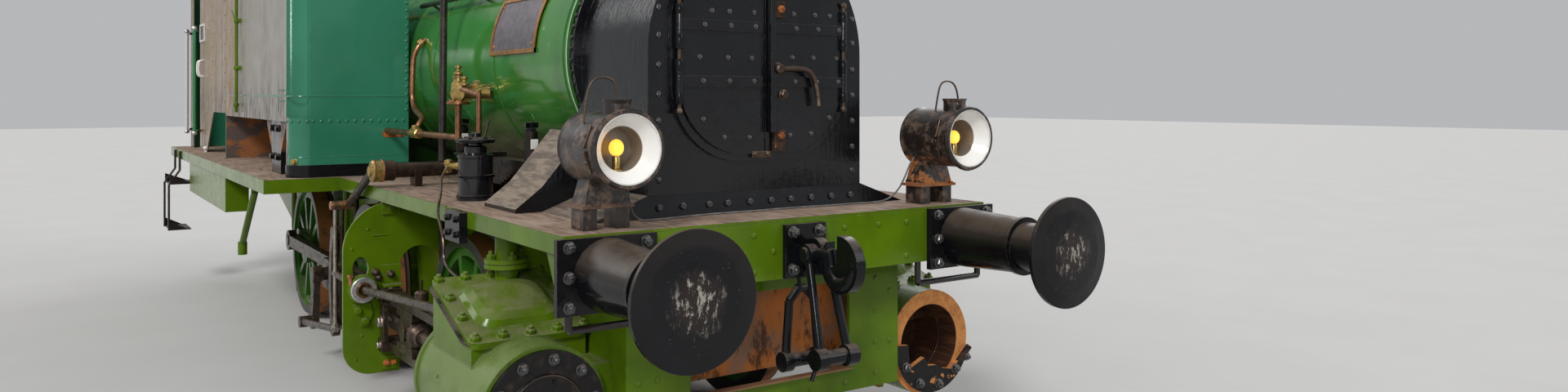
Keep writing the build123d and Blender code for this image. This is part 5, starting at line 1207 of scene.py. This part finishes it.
def make_pipework(side, name):
    """Lubricator tops and unions, thin oil pipes, the check valve's flange and caps, and the second feed pipe."""
    pot = at(LUBRICATOR_BACK, side * LUBRICATOR_Y, 1.475)
    angle = np.radians(60 * np.arange(6) + 20)
    nuts = pot + np.column_stack((0.070 * np.cos(angle), 0.070 * np.sin(angle), np.zeros(6)))
    lid = placed(turned(((0.082, -0.012), (0.090, -0.008), (0.090, 0.004), (0.084, 0.008), (0.040, 0.014),
                         (0.024, 0.016),
                         (0.022, 0.034), (0.012, 0.038)), 32), pot, UPWARD)
    make_piece("lubricator_lid_" + name, joined(lid, placed(bolt(0.020, 0.012), nuts + (0, 0, 0.004), UPWARD)),
               "black_gloss")
    bands = [placed(turned(((0.082, 0), (0.0885, 0.002), (0.0885, 0.014), (0.082, 0.016)), 36, True),
                    at(LUBRICATOR_BACK, side * LUBRICATOR_Y, up), UPWARD) for up in (1.205, 1.300)]
    make_piece("lubricator_bands_" + name, joined(*bands), "black_gloss")
    union = [bar(at(2.205, side * 0.870, 1.350), at(2.270, side * 0.925, 1.350), 0.015),
             placed(bolt(0.034, 0.020), at(2.212, side * 0.876, 1.350), (-0.76, 0.65 * side, 0)),
             placed(bolt(0.032, 0.024), at(2.262, side * 0.918, 1.340), (0, 0, -1)),
             placed(turned(((0.012, 0), (0.020, 0.006), (0.020, 0.024), (0.010, 0.030)), 16),
                    at(2.262, side * 0.918, 1.352), UPWARD)]
    make_piece("lubricator_union_" + name, joined(*union), "brass")
    route = places(((2.262, side * 0.920, 1.345), (2.150, side * 0.990, 1.310), (1.960, side * 1.046, 1.255),
                    (1.985, side * 1.058, 1.160), (1.900, side * 1.066, 1.100), (1.850, side * 1.070, 1.040),
                    (1.845, side * 1.072, 0.955), (1.700, side * 1.080, 0.925), (1.630, side * 1.085, 0.925)))
    oil = carried(eased(route, 6), circle(0.0062, 8))
    second = carried(eased(places(((2.205, side * 0.800, 1.400), (2.300, side * 0.760, 1.420),
                                   (2.460, side * 0.700, 1.400),
                                   (2.520, side * 0.650, 1.470), (2.560, side * 0.610, 1.560))), 6), circle(0.0055, 8))
    make_piece("oil_pipes_" + name, joined(oil, second), "oily_steel")
    clamp = brick(at(1.830, side * 1.036, 1.060), at(1.640, side * 1.072, 1.192), 0.004)
    clamp_bolts = placed(bolt(0.026, 0.014, 0.003), places([(back, side * 1.072, up) for back in (1.680, 1.790)
                                                           for up in (1.095, 1.160)]), (0, side, 0))
    make_piece("deck_edge_clamp_" + name, joined(clamp, clamp_bolts), "black_gloss")
    valve = at(VALVE_BACK, side * VALVE_Y, 0)
    flange = placed(turned(((0.052, 0), (0.060, 0.003), (0.060, 0.014), (0.054, 0.018)), 26),
                    valve + (0, 0, 1.640), UPWARD)
    angle = np.radians(90 * np.arange(4) + 45)
    flange_nuts = valve + np.column_stack((0.044 * np.cos(angle), 0.044 * np.sin(angle), np.full(4, 1.656)))
    make_piece("check_valve_flange_" + name, joined(flange, placed(bolt(0.018, 0.012), flange_nuts, UPWARD)), "copper")
    cap = turned(((0.016, 0), (0.024, 0.004), (0.024, 0.016), (0.012, 0.022), (0.010, 0.034), (0.018, 0.038),
                  (0.018, 0.048), (0.008, 0.052)), 18)
    caps = [placed(cap, at(VALVE_BACK, side * VALVE_Y, 1.792), UPWARD),
            placed(cap, at(2.575, side * 0.735, 1.735), UPWARD),
            bar(at(VALVE_BACK, side * VALVE_Y, 1.725), at(2.575, side * 0.735, 1.725), 0.018),
            placed(turned(((0.020, 0), (0.044, 0.002), (0.044, 0.014), (0.030, 0.020), (0.014, 0.024)), 24),
                   at(2.615, side * 0.750, 1.700), (0.55, side * 0.8, 0)),
            bar(at(VALVE_BACK, side * VALVE_Y, 1.700), at(2.600, side * 0.590, 1.700), 0.030)]
    make_piece("check_valve_caps_" + name, joined(*caps), "brass")
    down = places(((3.750, side * 0.575, 2.030), (3.750, side * 0.650, 1.980), (3.750, side * 0.662, 1.800),
                   (3.735, side * 0.665, 1.610), (3.420, side * 0.690, 1.560), (3.390, side * 0.730, 1.520),
                   (3.385, side * VALVE_Y, 1.470)))
    feed = carried(eased(down, 7), circle(0.016, 12))
    make_piece("feed_branch_" + name, feed, "copper")
    elbows = [placed(bolt(0.048, 0.030), at(3.750, side * 0.600, 2.013), (0, side * 0.83, -0.55)),
              bar(at(3.440, side * VALVE_Y, 1.470), at(3.330, side * VALVE_Y, 1.470), 0.029, 16),
              placed(bolt(0.052, 0.022),
                     places(((3.450, side * VALVE_Y, 1.470), (3.342, side * VALVE_Y, 1.470))), AHEAD),
              placed(bolt(0.044, 0.024), at(3.386, side * 0.744, 1.494), UPWARD)]
    make_piece("feed_unions_" + name, joined(*elbows), "brass")


def make_spring_hangers(side, name):
    """Screwed ends, black wing nuts and small bare tags on the front spring's hangers."""
    parts, tags = [], []
    for back in (1.870, 2.830):
        top = at(back, side * 0.660, 1.515)
        wing = plate(((-0.040, -0.005), (0.040, -0.005), (0.046, 0.005), (-0.046, 0.005)), 0.026, 0.002)
        parts += [bar(top, top + (0, 0, 0.050), 0.012), placed(bolt(0.046, 0.022), top, UPWARD),
                  placed(wing, top + (0, 0, 0.022), UPWARD, 30)]
        tags.append(placed(plate(oblong(0.036, 0.050, 0.004), 0.003, 0.001),
                           top + (0.028, -0.004 * side, -0.055), AHEAD))
    make_piece("spring_nuts_" + name, joined(*parts), "black_gloss")
    make_piece("spring_tags_" + name, joined(*tags), "white_enamel")


for side, name in SIDES:
    make_chest_fastenings(side, name)
    make_cylinder_fastenings(side, name)
    make_motion_plate_fittings(side, name)
    make_reversing_details(side, name)
    make_pipework(side, name)
    make_spring_hangers(side, name)


def arc_plate(back_low, back_high, start, end, radius, thick, side, steps=14):
    """Plate bent round the boiler: an arc of angles, in degrees above the middle, between two distances back."""
    angle = np.radians(np.linspace(start, end, steps))
    if side == RIGHT:
        angle = (np.pi - angle)[::-1]
    ring = np.column_stack((np.cos(angle), np.sin(angle)))
    section = np.vstack(((radius + thick) * ring, (radius - 0.004) * ring[::-1]))
    rings = [at(back, 0, BOILER_UP) + np.column_stack((np.zeros(len(section)), section))
             for back in (back_high, back_low)]
    return capped(np.stack(rings))


def make_boiler_details():
    """Rivets at the smokebox joint, the pale joint line, and a bare bordered plate on each flank."""
    angle = np.radians(np.linspace(-38, 218, 52))
    outward = np.column_stack((np.zeros(52), np.cos(angle), np.sin(angle)))
    heads = at(1.588, 0, BOILER_UP) + 0.587 * outward
    make_piece("smokebox_ring_rivets", placed(rivet(0.013), heads, outward), "black_gloss")
    line = placed(turned(((0.597, 0), (0.6025, 0), (0.6025, 0.004), (0.597, 0.004)), 96, True),
                  at(1.612, 0, BOILER_UP), AHEAD)
    make_piece("boiler_joint_line", line, "pale_paint")
    low, high, start, end = 1.960, 2.560, 2, 31
    for side, name in SIDES:
        edge_degrees = math.degrees(0.022 / 0.6)
        make_piece("boiler_plate_field_" + name, arc_plate(low, high, start, end, 0.600, 0.006, side), "plate_field")
        border = [arc_plate(low, high, start, start + edge_degrees, 0.600, 0.012, side, 4),
                  arc_plate(low, high, end - edge_degrees, end, 0.600, 0.012, side, 4),
                  arc_plate(low, low + 0.022, start, end, 0.600, 0.012, side),
                  arc_plate(high - 0.022, high, start, end, 0.600, 0.012, side)]
        make_piece("boiler_plate_border_" + name, joined(*border), "worn_brass")
        rows, axes = [], []
        for back in (low + 0.045, high - 0.045):
            for degrees in (start + 4.2, end - 4.2):
                turn = math.radians(degrees if side == LEFT else 180 - degrees)
                axis = np.array((0, math.cos(turn), math.sin(turn)))
                rows.append(at(back, 0, BOILER_UP) + 0.605 * axis)
                axes.append(axis)
        make_piece("boiler_plate_screws_" + name, placed(rivet(0.011), rows, axes), "worn_brass")


def tank_corner(side, height, degrees):
    """Place and outward direction on a tank's rounded front corner, from ahead (0) to outboard (90)."""
    turn = math.radians(degrees)
    outward = np.array((math.cos(turn), side * math.sin(turn), 0))
    return at(4.110, side * 1.190, height) + 0.110 * outward, outward


def make_tank_details(side, name):
    """Rivets, seams, apron corner, foot band, slot and plug of a tank front; the side's rod, clamps and bolts."""
    pitch = 0.048
    column = places([(4.000, side * 0.625, up) for up in np.arange(1.600, 2.462, pitch)])
    row = places([(4.000, side * y, 1.533) for y in np.arange(0.645, 1.180, pitch)])
    corner = [tank_corner(side, 1.533, degrees) for degrees in (8, 33, 58, 83)]
    spots = np.vstack((column, row, [spot for spot, _ in corner]))
    axes = np.vstack((np.tile(AHEAD, (len(column) + len(row), 1)), [axis for _, axis in corner]))
    make_piece("tank_rivets_" + name, placed(rivet(0.0105), spots, axes), "tank_front_paint")

    def round_front(height, inner_y, rear_back, proud):
        bend = [tank_corner(side, height, degrees) for degrees in np.linspace(0, 90, 9)]
        bent = [spot + proud * axis for spot, axis in bend]
        first = at(4.000, side * inner_y, height) + proud * np.array(AHEAD)
        last = at(rear_back, side * SIDE_Y, height) + proud * np.array((0, side, 0))
        return np.vstack((first, bent, last))

    seam = carried(round_front(1.682, 0.620, 5.200, -0.001), circle(0.0042, 8))
    lower = carried(round_front(1.318, 0.640, 4.115, -0.0015), circle(0.0030, 8))
    make_piece("tank_seam_" + name, joined(seam, lower), "tank_front_paint")
    corner_sheet = carried(round_front(1.3745, 1.150, 4.118, -0.0042), oblong(0.008, 0.359))
    make_piece("tank_apron_corner_" + name, corner_sheet, "tank_front_paint", sharp_degrees=50)
    band = carried(round_front(1.233, 0.614, 4.120, 0.0015), oblong(0.006, 0.074))
    make_piece("tank_foot_band_" + name, band, "black_gloss", sharp_degrees=50)
    slot = placed(plate(oblong(0.145, 0.045, 0.020), 0.0022, 0.0), at(4.000, side * 0.700, 1.450), AHEAD)
    make_piece("tank_slot_" + name, slot, "rust")
    spot, axis = tank_corner(side, 1.290, 46)
    make_piece("tank_plug_" + name, placed(bolt(0.030, 0.018, 0.004), spot, axis), "brass")
    outboard = (0, side, 0)
    bracket = places([(back, side * 1.280, up) for back in (4.645, 4.460) for up in (1.480, 1.300)])
    make_piece("tank_bracket_bolts_" + name, placed(bolt(0.036, 0.018, 0.004), bracket, outboard, 20), "black_gloss")
    rod = bar(at(5.850, side * 1.326, 1.565), at(5.850, side * 1.326, 2.470), 0.0115)
    clamps = [brick(at(5.905, side * 1.298, up - 0.016), at(5.795, side * 1.318, up + 0.016), 0.003)
              for up in (2.235, 1.890)]
    hoops = [placed(turned(((0.0115, 0), (0.0185, 0.002), (0.0185, 0.026), (0.0115, 0.028)), 16, True),
                    at(5.850, side * 1.326, up - 0.014), UPWARD) for up in (2.235, 1.890, 1.620)]
    heads = placed(bolt(0.026, 0.014, 0.002), places([(back, side * 1.318, up) for back in (5.890, 5.810)
                                                     for up in (2.235, 1.890)]), outboard)
    lever = bar(at(5.890, side * 1.332, 2.240), at(5.985, side * 1.338, 2.320), 0.0065)
    make_piece("side_rod_" + name, joined(rod, *clamps, *hoops, heads, lever), "frame_green")
    low_seam = carried(places(((4.130, side * 1.2995, 1.690), (6.540, side * 1.2995, 1.690))), circle(0.0030, 8))
    rows = places([(back, side * SIDE_Y, up) for up in (1.720, 1.655) for back in np.arange(4.160, 4.330, 0.055)])
    make_piece("side_seam_" + name, joined(low_seam, placed(rivet(0.007), rows, outboard)), "tank_paint")


def make_cab_details(side, name):
    """Bare framed plate and pull bars on the side sheet, knob at its foot, rail knobs, rivets and window rims."""
    outboard, face = (0, side, 0), SIDE_Y
    field = placed(plate(oblong(0.250, 0.125), 0.006, 0.001), at(7.950, side * face, 2.250), outboard)
    make_piece("side_plate_field_" + name, field, "plate_field")
    frame_bars = [brick(at(7.950 - 0.140, side * face, 2.250 + v - 0.009),
                        at(7.950 + 0.140, side * (face + 0.012), 2.250 + v + 0.009))
                  for v in (-0.070, 0.070)]
    frame_bars += [brick(at(7.950 + u - 0.009, side * face, 2.180), at(7.950 + u + 0.009, side * (face + 0.012), 2.320))
                   for u in (-0.132, 0.132)]
    make_piece("side_plate_frame_" + name, joined(*frame_bars), "white_enamel")
    bars = []
    for back in (7.900, 8.020):
        path = places([(back, side * y, up)
                       for y, up in ((1.296, 1.860), (1.326, 1.862), (1.338, 1.890), (1.338, 1.975),
                                                         (1.326, 2.003), (1.296, 2.005))])
        bars.append(carried(eased(path, 5), circle(0.0095, 10), AHEAD))
    make_piece("side_pull_bars_" + name, joined(*bars), "white_enamel")
    knob = turned(((0.012, -0.002), (0.012, 0.014), (0.022, 0.022), (0.026, 0.034), (0.022, 0.046), (0.010, 0.052)), 18)
    make_piece("foot_knob_" + name, placed(knob, at(7.680, side * 1.308, 1.195), UPWARD), "white_enamel")
    ball = turned(((0.012, -0.020), (0.0205, -0.010), (0.0235, 0.0), (0.0205, 0.010), (0.012, 0.020)), 16)
    knobs = placed(ball, places([(back, side * 1.350, up) for back in (8.110, 8.690) for up in (1.350, 2.300)]), UPWARD)
    make_piece("rail_knobs_" + name, knobs, "white_steel")
    heads = places([(back, side * face, up) for back in (6.610, 7.330) for up in np.arange(1.640, 2.560, 0.115)])
    make_piece("side_sheet_rivets_" + name, placed(rivet(0.0085), heads, outboard), "side_paint")
    rim = turned(((0.186, -0.004), (0.222, -0.004), (0.222, 0.008), (0.214, 0.014), (0.198, 0.014),
                  (0.186, 0.006)), 48, True)
    nut_angle = np.radians(45 * np.arange(8) + 22)
    rims, nuts = [], []
    for back, ahead in ((6.560, 1), (8.850, -1)):
        centre = at(back, side * 0.760, 2.800)
        rims.append(placed(rim, centre, (ahead, 0, 0)))
        ring = centre + np.column_stack((np.full(8, 0.012 * ahead), 0.206 * np.cos(nut_angle),
                                         0.206 * np.sin(nut_angle)))
        nuts.append(placed(bolt(0.014, 0.008), ring, (ahead, 0, 0)))
    make_piece("window_rims_" + name, joined(*rims, *nuts), "brass")


for side, name in SIDES:
    make_tank_details(side, name)
    make_cab_details(side, name)
make_boiler_details()


def make_studio():
    """Pale floor, a soft key light over the camera's shoulder, softer ones from the other sides and an even sky."""
    floor_paint = Finish("floor", (0.50, 0.49, 0.475), 0.85)
    floor_paint.layer(floor_paint.noise(1.2, 5), (0.56, 0.55, 0.535))
    data = bpy.data.meshes.new("floor")
    reach = 60
    data.from_pydata([(-reach, -reach, 0), (reach, -reach, 0), (reach, reach, 0), (-reach, reach, 0)], [],
                     [(0, 1, 2, 3)])
    data.materials.append(floor_paint.done())
    in_scene("floor", data)
    suns = (
        # name, strength, spread in degrees, where the light comes from
        ("key", 1.75, 14, (6.0, -7.0, 7.5)),
        ("fill", 0.50, 30, (7.0, 8.0, 5.0)),
        ("back_right", 0.75, 30, (-8.0, -6.0, 6.0)),
        ("back_left", 0.65, 30, (-6.0, 8.0, 6.0)),
    )
    for name, strength, spread, source in suns:
        light = bpy.data.lights.new(name, "SUN")
        light.energy, light.angle = strength, math.radians(spread)
        lamp = in_scene(name, light)
        lamp.rotation_euler = Vector(source).to_track_quat("Z", "Y").to_euler()
    glint = bpy.data.lights.new("glint", "AREA")
    glint.energy, glint.size = 45, 0.8
    lamp = in_scene("glint", glint)
    lamp.location = place = Vector((8.2, -3.4, 2.6))
    lamp.rotation_euler = (place - Vector((3.6, -0.3, 1.2))).to_track_quat("Z", "Y").to_euler()
    world = bpy.data.worlds.new("sky")
    bpy.context.scene.world = world
    world.use_nodes = True
    world.node_tree.nodes["Background"].inputs["Color"].default_value = (0.93, 0.95, 0.98, 1)
    world.node_tree.nodes["Background"].inputs["Strength"].default_value = 0.50
    bpy.context.scene.view_settings.view_transform = "Standard"


make_studio()
